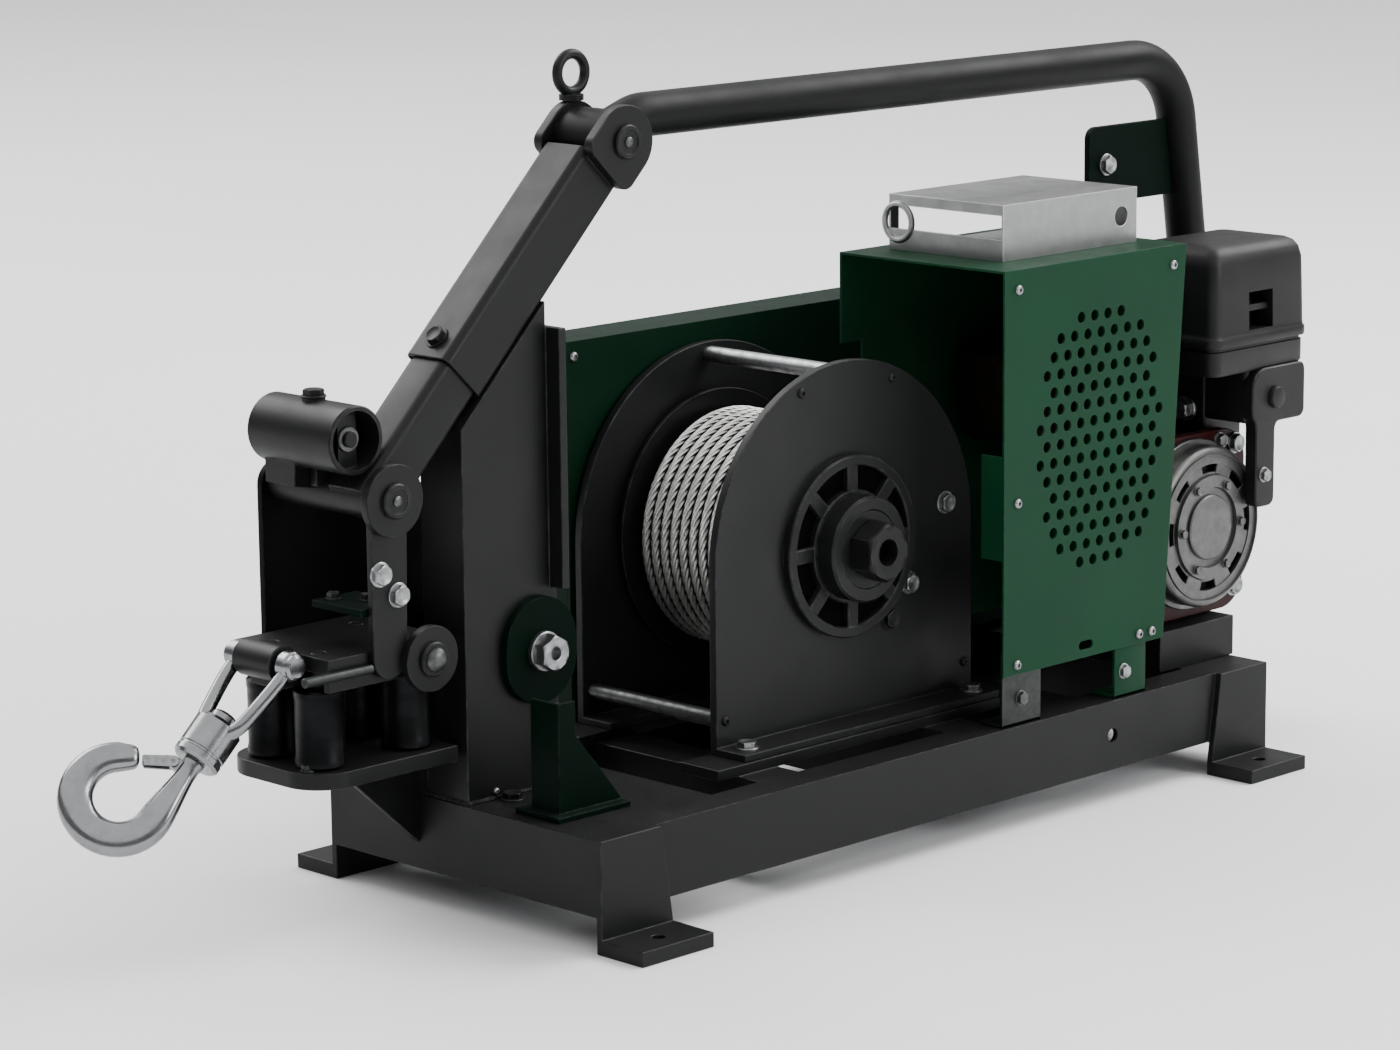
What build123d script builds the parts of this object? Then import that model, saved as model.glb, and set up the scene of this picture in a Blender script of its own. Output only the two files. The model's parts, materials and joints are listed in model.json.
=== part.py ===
from build123d import *
import math
import os

# Frame of the part: X runs from the hook to the engine, Y from the open side to the
# gear side, Z up from the floor. All sizes are in millimetres.

# Base frame
FRAME_LENGTH = 1070.0
FRAME_WIDTH = 400.0
RAIL_HEIGHT = 80.0
RAIL_FLANGE = 42.0
RAIL_WALL = 7.0
FLOOR_CLEARANCE = 38.0
CROSS_WIDTH = 60.0
CROSS_WALL = 5.0
CROSS_CENTRES = (-230.0, 60.0, 220.0, 470.0)
DECK_END_X = -330.0
BEARER_START_X = -290.0
BEARER_END_X = 200.0
BEARER_WIDTH = 58.0
BEARER_HEIGHT = 12.0
OUTRIGGER_REACH = 165.0
OUTRIGGER_WIDTH = 80.0
OUTRIGGER_HEIGHT = 40.0
RAIL_HOLE_RADIUS = 8.0
RAIL_HOLE_X = 266.0

# Feet
FOOT_LENGTH = 100.0
FOOT_REACH = 66.0
FOOT_THICKNESS = 16.0
FOOT_PLATE = 8.0
FOOT_TOP_LENGTH = 85.0
FOOT_HOLE_RADIUS = 7.0
FOOT_HOLE_OUT = 37.0

# Drum, shaft and rope
DRUM_X = -45.0
DRUM_Z = 327.0
ROPE_DIAMETER = 14.0
ROPE_PITCH = 14.47
ROPE_TURNS = 11.0
ROPE_CENTRE_RADIUS = 125.0
ROPE_CORE_GAP = 0.5
ROPE_SIDE_GAP = 0.8
GAP_SAMPLES = 360
BARREL_RADIUS = 70.0
BARREL_WALL = 10.0
DRUM_FLANGE_RADIUS = 150.0
DRUM_FLANGE_THICKNESS = 6.0
DRUM_NEAR_Y = -64.0
DRUM_SIDE_GAP = 4.0
CLAMP_LENGTH = 22.0
CLAMP_HEIGHT = 17.0
CLAMP_GRIP = 5.0
SHAFT_RADIUS = 25.0
RUNNING_CLEARANCE = 0.05
SHAFT_NUT_FLATS = 58.0
SHAFT_NUT_LENGTH = 28.0
SHAFT_BORE_RADIUS = 15.0
SHAFT_BORE_DEPTH = 24.0

# Drum stand
STAND_RADIUS = 202.0
STAND_PLATE = 10.0
STAND_FOOT_WIDTH = 42.0
STAND_FOOT_THICKNESS = 8.0
STAND_SHAFT_HOLE = 40.0
TIE_ROD_RADIUS = 9.0
TIE_ROD_INSET = 13.0
TIE_ROD_ANGLE = 92.0
PLATE_SCREW_ANGLES = (112.0, 68.0)
TIE_ROD_RISE = 36.0
CARRIER_RADIUS = 100.0
CARRIER_FLANGE = 10.0
CARRIER_BOSS_RADIUS = 58.0
CARRIER_BOSS_LENGTH = 24.0
CARRIER_WINDOWS = 8
CARRIER_WINDOW_INNER = 62.0
CARRIER_WINDOW_OUTER = 84.0
CARRIER_SPOKE = 16.0
FAR_CARRIER_RADIUS = 60.0
FAR_CARRIER_LENGTH = 11.0

# Gear and belt drive
MODULE = 5.0
BULL_TEETH = 76
PINION_TEETH = 18
TOOTH_SHARE = 0.42
ADDENDUM = 0.85
DEDENDUM = 1.2
PRESSURE_ANGLE = 20.0
GEAR_WIDTH = 20.0
GEAR_GAP = 5.0
PULLEY_WIDTH = 18.0
PULLEY_GAP = 5.0
PULLEY_RADIUS = 112.0
ENGINE_PULLEY_RADIUS = 45.0
PULLEY_GROOVE_WIDTH = 12.0
PULLEY_GROOVE_DEPTH = 11.0
BELT_WIDTH = 10.0
BELT_THICKNESS = 8.0
JACK_RISE = 36.0
JACK_SHAFT_RADIUS = 15.0
JACK_TUBE_RADIUS = 29.0
JACK_TUBE_START_Y = 60.0
JACK_COLLAR_RADIUS = 22.0
JACK_COLLAR_LENGTH = 8.0

# Panel and cover behind the drum
PANEL_GAP = 5.0
PANEL_SHEET = 4.0
PANEL_START_X = -250.0
PANEL_END_X = 555.0
PANEL_TOP_Z = 550.0
PANEL_HOLE_MARGIN = 4.0
COVER_SHEET = 3.0

# Mast: column, boom and the ears at its upper end
MAST_NEAR_Y = -8.0
MAST_WIDTH = 64.0
COLUMN_FRONT_X = -531.0
COLUMN_REAR_X = -413.0
COLUMN_WALL = 6.0
COLUMN_FLANGE = 10.0
COLUMN_FLANGE_OUT = 20.0
COLUMN_FLANGE_TOP_Z = 600.0
TOP_PIVOT = (-306.0, 781.0)
LOW_PIVOT = (-632.0, 452.0)
BOOM_DEPTH = 65.0
BOOM_WALL = 4.0
BOOM_CORNER = 9.0
BOOM_END = 312.0
ARM_OVERLAP = 50.0
EAR_RADIUS = 38.0
EAR_THICKNESS = 12.0
EAR_FLAT = 40.0
EAR_CORNER = 14.0
HUB_RADIUS = 32.0
HUB_END_GAP = 1.0
HUB_SIDE_GAP = 0.5
TOP_PIN_RADIUS = 12.0
PIN_HEAD_RADIUS = 18.0
PIN_HEAD_THICKNESS = 5.0

# Roll bar, lifting eye and bar bracket
BAR_RADIUS = 23.5
BAR_WALL = 3.5
BAR_AXIS_Z = 801.0
BAR_NECK_X = -250.0
BAR_CORNER_X = 632.0
BAR_LEG_X = 668.0
BAR_LEG_TOP_Z = 560.0
BAR_BEND_RADIUS = 85.0
BAR_SMALL_BEND = 60.0
BAR_LEG_BEND = 150.0
EYE_RING_RADIUS = 19.5
EYE_WIRE_RADIUS = 5.5
EYE_COLLAR_RADIUS = 13.0
EYE_COLLAR_HEIGHT = 6.0
EYE_SHANK_RADIUS = 4.0
EYE_SHANK_DEPTH = 10.0
BRACKET_START_X = 479.0
BRACKET_BOTTOM_Z = 638.0
BRACKET_TOP_Z = 728.0
BRACKET_SHEET = 8.0
BRACKET_CORNER = 14.0

# Lower pivot, guide shell, link arm and cheek
CROSS_TUBE_RADIUS = 22.0
DISC_THICKNESS = 10.0
LOW_DISC_RADIUS = 37.0
NOSE_DISC_RADIUS = 34.0
NOSE_COLLAR_RADIUS = 18.0
LINK_THICKNESS = 8.0
LINK_TOP_RADIUS = 24.0
LINK_LOW_RADIUS = 22.0
LINK_FOOT = (-634.0, 292.0)
PIVOT_BOLT_RADIUS = 10.0
PIVOT_BOLT_DEPTH = 34.0
SHELL_BACK = 23.5
SHELL_BOOM_GAP = 0.6
SHELL_RADIUS = 35.0
SHELL_WALL = 5.0
SHELL_NEAR_Y = 1.0
SHELL_LENGTH = 128.0
SHELL_PAD_RADIUS = 12.0
SHELL_PAD_RISE = 2.0
SHELL_CAP = 6.0
SHELL_CAP_INSET = 14.0
SADDLE_THICKNESS = 10.0
SADDLE_HALF_WIDTH = 16.0
SADDLE_SPOTS_Y = (62.0, 112.0)
GUIDE_ROLLER_RADIUS = 24.0
GUIDE_AXLE_RADIUS = 8.0
GUIDE_SIDE_GAP = 4.0
CHEEK_NEAR_Y = 150.0
CHEEK_THICKNESS = 8.0
CHEEK_FRONT_X = -662.0
CHEEK_REAR_X = -400.0
CHEEK_BOTTOM_Z = 150.0
CHEEK_TOP_Z = 474.0
CHEEK_REAR_TOP_Z = 360.0
CHEEK_SLOPE_X = -530.0
CHEEK_CORNER = 25.0
TIE_PLATE_START_X = -665.0
TIE_PLATE_END_X = -606.0
TIE_PLATE_Z = 336.0
TIE_PLATE_WIDTH = 76.0
TIE_PLATE_THICKNESS = 8.0

# Nose with its four upright rollers
NOSE_BOTTOM_Z = 166.0
NOSE_PLATE = 17.0
NOSE_FRONT_X = -728.0
NOSE_REAR_X = -540.0
NOSE_CORNER = 45.0
NOSE_TOP_FRONT_X = -709.0
NOSE_TOP_REAR_X = -550.0
NOSE_TOP_WIDTH = 146.0
NOSE_TOP_PLATE = 16.0
NOSE_SKIRT = 8.0
NOSE_SKIRT_DROP = 18.0
GUSSET_REACH = 110.0
GUSSET_DROP = 100.0
GUSSET_THICKNESS = 8.0
ROLLER_RADIUS = 26.0
ROLLER_LENGTH = 80.0
ROLLER_END_GAP = 1.5
ROLLER_PIN_RADIUS = 8.0
ROLLER_FRONT_X = -692.0
ROLLER_REAR_X = -578.0
ROLLER_SPREAD = 37.0
CROSS_SHAFT = (-587.0, 284.0)
CROSS_SHAFT_RADIUS = 12.0
SIDE_ROD_RADIUS = 5.0
SIDE_ROD_START_X = -745.0
SIDE_ROD_END_X = -657.0
NOSE_BOSS_RADIUS = 19.0
NOSE_BOSS_HALF = 29.0
NOSE_NECK_HALF = 24.0

# Rope roller on the mast and its green bracket, corner leg
ROPE_ROLLER = (-434.0, 266.0)
ROPE_ROLLER_RADIUS = 28.0
ROPE_ROLLER_GAP = 4.0
ROPE_AXLE_RADIUS = 12.0
MAST_BRACKET_RADIUS = 49.0
MAST_BRACKET_HEIGHT = 113.0
MAST_BRACKET_SHEET = 10.0
AXLE_WASHER_RADIUS = 21.0
AXLE_WASHER = 7.0
AXLE_NUT_FLATS = 32.0
AXLE_NUT_LENGTH = 15.0
AXLE_BORE_RADIUS = 7.0
AXLE_BORE_DEPTH = 12.0
LEG_FRONT_INSET = 29.0
LEG_WIDTH = 24.0
LEG_GUSSET = 64.0
LEG_GUSSET_RISE = 78.0
LEG_DEPTH = 42.0
LEG_NEAR_Y = -118.0
LEG_SHEET = 5.0
LEG_HEIGHT = 120.0
LEG_BASE_MARGIN = 12.0
LEG_BASE_THICKNESS = 6.0

# Hook set, drawn along its own axis from the shackle pin
HOOK_PIN = (-730.0, 293.0)
HOOK_DROOP = 43.5
HOOK_TURN = 45.0
SHACKLE_HALF_SPREAD = 39.0
SHACKLE_WIRE_RADIUS = 7.5
SHACKLE_EYE_RADIUS = 15.0
SHACKLE_EYE_WIDTH = 15.0
SHACKLE_SHOULDER = 30.0
SHACKLE_CROWN = 91.0
SHACKLE_CROWN_HALF = 27.0
SHACKLE_BEND = 12.0
SHACKLE_PIN_RADIUS = 9.0
PIN_BUTTON_RADIUS = 13.0
PIN_BUTTON = 5.0
SWIVEL_RADIUS = 25.0
SWIVEL_START = 80.0
SWIVEL_LENGTH = 48.0
SHANK_RADIUS = 9.0
SHANK_HEAD_RADIUS = 14.0
SHANK_HEAD_LENGTH = 10.0
SWIVEL_END_GAP = 0.5
HOOK_BOWL_CENTRE = 199.0
HOOK_BOWL_RADIUS = 42.0
HOOK_HALF_WIDTH = 17.0
HOOK_HALF_DEPTH = 12.0
HOOK_NECK_RADIUS = 11.0
HOOK_TIP_ANGLE = 148.0
HOOK_TIP_LENGTH = 20.0
HOOK_TIP_HALF_WIDTH = 13.0
HOOK_TIP_HALF_DEPTH = 10.0
LATCH_PIVOT = (139.0, 17.0)
LATCH_TIP_GAP = 2.0
LATCH_SHEET = 3.0
LATCH_LUG_RADIUS = 6.0
LATCH_LUG_HALF = 4.5
LATCH_SIDE_GAP = 0.5
LATCH_PIN_RADIUS = 2.5

# Guard, its panel and brackets, tray on top
GUARD_FRONT_X = 80.0
GUARD_REAR_X = 388.0
GUARD_TAPER = 34.0
GUARD_NEAR_Y = -199.0
GUARD_FAR_Y = 44.0
GUARD_BOTTOM_Z = 176.0
GUARD_TOP_Z = 622.0
GUARD_SHEET = 3.0
GUARD_NOTCH_X = 114.0
GUARD_NOTCH_Z = 520.0
GUARD_LIP_DEPTH = 30.0
GUARD_LIP_BOTTOM_Z = 305.0
GUARD_LIP_TOP_Z = 420.0
GUARD_STRAP_WIDTH = 40.0
VENT_CENTRE = (241.0, 422.0)
VENT_HALF_WIDTH = 103.0
VENT_HALF_HEIGHT = 142.0
VENT_HOLE_RADIUS = 6.2
VENT_PITCH = 22.5
VENT_SQUARENESS = 3.0
SLOT_CENTRE = (219.0, 190.0)
SLOT_LENGTH = 24.0
SLOT_HEIGHT = 10.0
GUARD_BRACKET_SPOTS = ((82.0, 146.0), (273.0, 327.0))
GUARD_BRACKET_SHEET = 4.0
GUARD_BRACKET_FOOT = 34.0
GUARD_BRACKET_LAP = 26.0
TRAY_START_X = 135.0
TRAY_END_X = 362.0
TRAY_NEAR_Y = -148.0
TRAY_FAR_Y = 20.0
TRAY_HEIGHT = 62.0
TRAY_SHEET = 2.5
TRAY_END_RISE = 24.0
TRAY_END_RIM = 12.0
TRAY_RING_RADIUS = 20.0
TRAY_RING_WIRE = 3.5
TRAY_RING_INSET = 14.0
TRAY_POST_WIDTH = 14.0
TRAY_HOLE_RADIUS = 11.0
TRAY_HOLE_INSET = 27.0

# Engine
CRANK_X = 479.0
CRANK_Z = 280.0
CRANK_RADIUS = 15.0
CRANK_NEAR_Y = -152.0
FLYWHEEL_RADIUS = 80.0
FLYWHEEL_WIDTH = 26.0
BASE_START_X = 405.0
BASE_END_X = 540.0
BASE_NEAR_Y = -154.0
BASE_FAR_Y = 60.0
BASE_HEIGHT = 47.0
CASE_START_X = 400.0
CASE_END_X = 565.0
CASE_NEAR_Y = -120.0
CASE_FAR_Y = 80.0
CASE_TOP_Z = 375.0
CASE_CORNER = 14.0
CYLINDER_START_X = 410.0
CYLINDER_END_X = 530.0
CYLINDER_NEAR_Y = -45.0
CYLINDER_FAR_Y = 60.0
CYLINDER_TOP_Z = 480.0
FIN_COUNT = 6
FIN_PITCH = 12.0
FIN_GROOVE = 6.0
FIN_DEPTH = 9.0
SHROUD_START_X = 395.0
SHROUD_END_X = 580.0
SHROUD_BOTTOM_Z = 170.0
SHROUD_TOP_Z = 384.0
SHROUD_DEPTH = 15.0
SHROUD_CORNER = 40.0
FAN_COVER_RADIUS = 94.0
FAN_COVER_RIM = 100.0
FAN_COVER_DEPTH = 30.0
FAN_COVER_WALL = 5.0
FAN_RIM_DEPTH = 6.0
FAN_SLOTS = 10
FAN_SLOT_START = 30.0
FAN_SLOT_END = 74.0
FAN_SLOT_WIDTH = 9.0
CLEANER_START_X = 458.0
CLEANER_END_X = 636.0
CLEANER_NEAR_Y = -185.0
CLEANER_FAR_Y = -50.0
CLEANER_BOTTOM_Z = 440.0
CLEANER_TOP_Z = 606.0
CLEANER_CORNER = 16.0
CLEANER_SEAM_Z = 492.0
CLEANER_SEAM_DEPTH = 4.0
CLEANER_WINDOW = (546.0, 528.0)
CLEANER_WINDOW_SIZE = 44.0
CLEANER_WINDOW_DEPTH = 10.0
DUCT_START_X = 518.0
DUCT_END_X = 628.0
DUCT_BOTTOM_Z = 388.0
DUCT_FAR_Y = -110.0
DUCT_LEG_END_X = 573.0
DUCT_LEG_BOTTOM_Z = 296.0
DUCT_LEG_DEPTH = 17.0
CARB_END_X = 600.0
CARB_FAR_Y = -20.0
LEVER_PIVOT = (-62.0, 413.0)
LEVER_LENGTH = 42.0
LEVER_SHEET = 4.0
LEVER_BOSS_RADIUS = 9.0
LEVER_PIN_RADIUS = 4.0
LEVER_PIN_LENGTH = 8.0
LEVER_GAP = 0.5
TANK_START_X = 398.0
TANK_END_X = 590.0
TANK_NEAR_Y = 0.0
TANK_FAR_Y = 125.0
TANK_HEIGHT = 100.0
TANK_CORNER = 22.0
CAP_X = 470.0
CAP_Y = 66.0
CAP_RADIUS = 28.0
CAP_HEIGHT = 18.0
NECK_RADIUS = 20.0
NECK_HEIGHT = 12.0
CAP_LIFT = 2.0
MUFFLER_START_X = 262.0
MUFFLER_END_X = 345.0
MUFFLER_NEAR_Y = -75.0
MUFFLER_FAR_Y = 28.0
MUFFLER_BOTTOM_Z = 388.0
MUFFLER_TOP_Z = 500.0
MUFFLER_CORNER = 24.0
PIPE_RADIUS = 16.0
PIPE_HOLE_MARGIN = 6.0

# Fasteners
HEX_FLATS = 19.0
HEX_HEIGHT = 8.0
STAND_BOLT_INSET = 24.0
PLATE_BOLTS = ((113.0, -54.0), (113.0, -30.0), (159.0, 9.0))
FAN_BOLT_RADIUS = 118.0
FAN_BOLT_ANGLES = (46.0, 134.0, -46.0)
LINK_BOLTS = ((74.0, -13.0), (98.0, 10.0))
BOOM_BOLT_INSET = 24.0
DECK_BOLT = (48.0, 14.0)
BRACKET_BOLT_INSET = 31.0
SCREW_INSET = 22.0
SCREW_MIDDLE_DROP = 27.0
PANEL_SCREW_INSET = (10.0, 17.0)
SCREW_RADIUS = 5.5
SCREW_HEIGHT = 3.5

# Values that follow from the sizes above
rail_half = FRAME_WIDTH / 2
frame_half = FRAME_LENGTH / 2
base_top = FLOOR_CLEARANCE + RAIL_HEIGHT
flange_tip = rail_half - RAIL_FLANGE
bearer_top = base_top + BEARER_HEIGHT
rope_radius = ROPE_DIAMETER / 2
rope_start_y = DRUM_NEAR_Y + rope_radius + ROPE_SIDE_GAP
rope_end_y = rope_start_y + ROPE_PITCH * ROPE_TURNS
drum_far_y = rope_end_y + rope_radius + ROPE_SIDE_GAP
core_radius = ROPE_CENTRE_RADIUS - rope_radius - ROPE_CORE_GAP
near_plate_in = DRUM_NEAR_Y - DRUM_FLANGE_THICKNESS - DRUM_SIDE_GAP
near_plate_out = near_plate_in - STAND_PLATE
far_plate_in = drum_far_y + DRUM_FLANGE_THICKNESS + DRUM_SIDE_GAP
far_plate_out = far_plate_in + STAND_PLATE
panel_near = far_plate_out + PANEL_GAP
panel_far = panel_near + PANEL_SHEET
gear_near = panel_far + GEAR_GAP
gear_far = gear_near + GEAR_WIDTH
pulley_near = gear_far + PULLEY_GAP
pulley_far = pulley_near + PULLEY_WIDTH
belt_sunk = PULLEY_GROOVE_DEPTH - BELT_THICKNESS - RUNNING_CLEARANCE
gear_distance = MODULE * (BULL_TEETH + PINION_TEETH) / 2
jack_x = DRUM_X + math.sqrt(gear_distance**2 - JACK_RISE**2)
jack_z = DRUM_Z + JACK_RISE
mesh_angle = math.atan2(JACK_RISE, jack_x - DRUM_X)
shaft_nut_near = near_plate_out - CARRIER_FLANGE - CARRIER_BOSS_LENGTH - SHAFT_NUT_LENGTH
mast_far_y = MAST_NEAR_Y + MAST_WIDTH
mast_centre_y = MAST_NEAR_Y + MAST_WIDTH / 2
ear_near_y = MAST_NEAR_Y - EAR_THICKNESS
ear_far_y = mast_far_y + EAR_THICKNESS
boom_start = HUB_RADIUS + HUB_END_GAP
boom_length = math.dist(TOP_PIVOT, LOW_PIVOT)
boom_dir = ((LOW_PIVOT[0] - TOP_PIVOT[0]) / boom_length, (LOW_PIVOT[1] - TOP_PIVOT[1]) / boom_length)
boom_under = (-boom_dir[1], boom_dir[0])
link_length = math.dist(LOW_PIVOT, LINK_FOOT)
link_dir = ((LINK_FOOT[0] - LOW_PIVOT[0]) / link_length, (LINK_FOOT[1] - LOW_PIVOT[1]) / link_length)
arm_near_y = MAST_NEAR_Y + BOOM_WALL
arm_far_y = mast_far_y - BOOM_WALL
arm_depth = BOOM_DEPTH - 2 * BOOM_WALL
shell_out = arm_depth / 2 + SHELL_BOOM_GAP + SHELL_RADIUS
shell_far_y = SHELL_NEAR_Y + SHELL_LENGTH
link_near_y = arm_near_y - LINK_THICKNESS
disc_near_y = link_near_y - DISC_THICKNESS
nose_top = NOSE_BOTTOM_Z + NOSE_PLATE
roller_bottom = nose_top + ROLLER_END_GAP
roller_top = roller_bottom + ROLLER_LENGTH
skirt_bottom = roller_top + ROLLER_END_GAP
nose_cap_bottom = skirt_bottom + NOSE_SKIRT_DROP
nose_cap_top = nose_cap_bottom + NOSE_TOP_PLATE
nose_centre_y = arm_near_y + NOSE_TOP_WIDTH / 2
engine_base_top = base_top + BASE_HEIGHT
shroud_near_y = CASE_NEAR_Y - SHROUD_DEPTH
fan_near_y = shroud_near_y - FAN_COVER_DEPTH
panel_near_face = GUARD_NEAR_Y + GUARD_SHEET
strap_centre = CROSS_CENTRES[2]
guard_slope = GUARD_TAPER / (GUARD_TOP_Z - GUARD_BOTTOM_Z)
tray_top = GUARD_TOP_Z + TRAY_HEIGHT
tank_top = CYLINDER_TOP_Z + TANK_HEIGHT
pipe_y = (MUFFLER_NEAR_Y + MUFFLER_FAR_Y) / 2
pipe_z = (MUFFLER_BOTTOM_Z + MUFFLER_TOP_Z) / 2
shackle_frame = Plane(
    origin=(HOOK_PIN[0], nose_centre_y, HOOK_PIN[1]),
    x_dir=(-math.cos(math.radians(HOOK_DROOP)), 0, -math.sin(math.radians(HOOK_DROOP))),
    z_dir=(0, 1, 0),
)
hook_frame = Plane(shackle_frame.location * Rot(HOOK_TURN, 0, 0))


# Drawing helpers
def block(x0, x1, y0, y1, z0, z1):
    """A box between two corners."""
    return Pos((x0 + x1) / 2, (y0 + y1) / 2, (z0 + z1) / 2) * Box(x1 - x0, y1 - y0, z1 - z0)


def rod_x(y, z, radius, x0, x1):
    """A round bar along X."""
    return Pos((x0 + x1) / 2, y, z) * Rot(0, 90, 0) * Cylinder(radius, x1 - x0)


def rod_y(x, z, radius, y0, y1):
    """A round bar along Y."""
    return Pos(x, (y0 + y1) / 2, z) * Rot(90, 0, 0) * Cylinder(radius, y1 - y0)


def rod_z(x, y, radius, z0, z1):
    """A round bar along Z."""
    return Pos(x, y, (z0 + z1) / 2) * Cylinder(radius, z1 - z0)


def slab_y(outline, y0, y1):
    """An outline drawn in X and Z, made solid from y0 to y1."""
    plane = Plane(origin=(0, y0, 0), x_dir=(1, 0, 0), z_dir=(0, -1, 0))
    return extrude(plane * outline, amount=y0 - y1)


def slab_z(outline, z0, z1):
    """An outline drawn in X and Y, made solid from z0 to z1."""
    return extrude(Pos(0, 0, z0) * outline, amount=z1 - z0)


def outline_of(points):
    """A closed outline through points."""
    return make_face(Polyline(*points, close=True))


def hexagon(flats):
    """A hexagon by its width across flats."""
    return RegularPolygon(flats / 2, 6, major_radius=False)


def around(centre, radius, angle):
    """A point in X and Z on a circle."""
    turn = math.radians(angle)
    return (centre[0] + radius * math.cos(turn), centre[1] + radius * math.sin(turn))


def along_boom(distance, offset):
    """The point in X and Z at a distance down the boom and an offset to its underside."""
    x = TOP_PIVOT[0] + distance * boom_dir[0] + offset * boom_under[0]
    z = TOP_PIVOT[1] + distance * boom_dir[1] + offset * boom_under[1]
    return (x, z)


def boom_strip(start, end, depth):
    """A strip along the boom, as an outline in X and Z."""
    corners = ((start, depth / 2), (end, depth / 2), (end, -depth / 2), (start, -depth / 2))
    return outline_of([along_boom(distance, offset) for distance, offset in corners])


def upright_edges(shape):
    """The edges of a shape that run along Z."""
    return shape.edges().filter_by(Axis.Z)


# Base frame
def rail(side):
    """One side channel with its web outside; side is -1 for the near one, 1 for the far one."""
    ends = (-frame_half, frame_half)
    y0, y1 = sorted((side * rail_half, side * flange_tip))
    w0, w1 = sorted((side * (rail_half - RAIL_WALL), side * flange_tip))
    body = block(*ends, y0, y1, FLOOR_CLEARANCE, base_top)
    hollow = block(*ends, w0, w1, FLOOR_CLEARANCE + RAIL_WALL, base_top - RAIL_WALL)
    middle = (FLOOR_CLEARANCE + base_top) / 2
    hole = rod_y(RAIL_HOLE_X, middle, RAIL_HOLE_RADIUS, y0, y1)
    return body - hollow - hole


def end_channel(side):
    """One end channel with its web outside; side is -1 at the hook and 1 at the engine."""
    outer = side * frame_half
    x0, x1 = sorted((outer, side * (frame_half - RAIL_FLANGE)))
    w0, w1 = sorted((outer, side * (frame_half - RAIL_WALL)))
    h0, h1 = sorted((side * (frame_half - RAIL_WALL), side * (frame_half - RAIL_FLANGE)))
    inside = rail_half - RAIL_WALL
    low, high = FLOOR_CLEARANCE + RAIL_WALL, base_top - RAIL_WALL
    body = block(x0, x1, -flange_tip, flange_tip, FLOOR_CLEARANCE, base_top)
    body -= block(h0, h1, -flange_tip, flange_tip, low, high)
    return body + block(w0, w1, -inside, inside, low, high)


def cross_member(centre):
    """One box section across the frame, coped to fit inside the side channels."""
    half = CROSS_WIDTH / 2
    inside = rail_half - RAIL_WALL
    low, high = FLOOR_CLEARANCE + RAIL_WALL, base_top - RAIL_WALL
    body = block(centre - half, centre + half, -flange_tip, flange_tip, FLOOR_CLEARANCE, base_top)
    body += block(centre - half, centre + half, -inside, inside, low, high)
    hollow_low, hollow_high = FLOOR_CLEARANCE + 2 * RAIL_WALL, base_top - 2 * RAIL_WALL
    core = half - CROSS_WALL
    return body - block(centre - core, centre + core, -inside, inside, hollow_low, hollow_high)


def foot(end, side):
    """One foot: a drilled pad and an upright plate on the side channel."""
    outer = end * frame_half
    inner = end * (frame_half - FOOT_LENGTH)
    short = end * (frame_half - FOOT_TOP_LENGTH)
    x0, x1 = sorted((outer, inner))
    y0, y1 = sorted((side * rail_half, side * (rail_half + FOOT_REACH)))
    p0, p1 = sorted((side * rail_half, side * (rail_half + FOOT_PLATE)))
    pad = block(x0, x1, y0, y1, 0, FOOT_THICKNESS)
    corners = ((outer, 0), (inner, 0), (inner, FOOT_THICKNESS), (short, base_top), (outer, base_top))
    upright = slab_y(outline_of(corners), p0, p1)
    hole_x = (outer + inner) / 2
    hole_y = side * (rail_half + FOOT_HOLE_OUT)
    return pad + upright - rod_z(hole_x, hole_y, FOOT_HOLE_RADIUS, 0, FOOT_THICKNESS)


def bearer(centre_y):
    """One flat bar that carries a drum side plate."""
    half = BEARER_WIDTH / 2
    return block(BEARER_START_X, BEARER_END_X, centre_y - half, centre_y + half, base_top, bearer_top)


def base_frame():
    """The welded frame with its deck, bearers, feet and rear outrigger."""
    body = rail(-1) + rail(1) + end_channel(-1) + end_channel(1)
    for centre in CROSS_CENTRES:
        body += cross_member(centre)
    deck_start = -frame_half + RAIL_FLANGE
    body += block(deck_start, DECK_END_X, -flange_tip, flange_tip, base_top - RAIL_WALL, base_top)
    body += bearer(near_plate_out - STAND_FOOT_WIDTH / 2 + STAND_PLATE / 2)
    body += bearer(far_plate_in + STAND_PLATE - BEARER_WIDTH / 2 + PANEL_GAP + PANEL_SHEET)
    o0, o1 = mast_centre_y - OUTRIGGER_WIDTH / 2, mast_centre_y + OUTRIGGER_WIDTH / 2
    reach = frame_half + OUTRIGGER_REACH
    body += block(frame_half, reach, o0, o1, base_top - OUTRIGGER_HEIGHT, base_top)
    for end in (-1, 1):
        for side in (-1, 1):
            body += foot(end, side)
    return body


# Drum stand
def stand_outline():
    """The outline of a drum side plate: straight sides and a round top."""
    lower_half = Pos(DRUM_X, DRUM_Z - STAND_RADIUS / 2) * Rectangle(2 * STAND_RADIUS, STAND_RADIUS)
    top = Pos(DRUM_X, DRUM_Z) * Circle(STAND_RADIUS) - lower_half
    height = DRUM_Z - bearer_top
    skirt = Pos(DRUM_X, bearer_top + height / 2) * Rectangle(2 * STAND_RADIUS, height)
    hole = Pos(DRUM_X, DRUM_Z) * Circle(STAND_SHAFT_HOLE)
    return top + skirt - hole


def drum_plate(near, far, foot_near):
    """One side plate with its foot flange."""
    x0, x1 = DRUM_X - STAND_RADIUS, DRUM_X + STAND_RADIUS
    foot_far = foot_near + STAND_FOOT_WIDTH
    foot_top = bearer_top + STAND_FOOT_THICKNESS
    return slab_y(stand_outline(), near, far) + block(x0, x1, foot_near, foot_far, bearer_top, foot_top)


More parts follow.
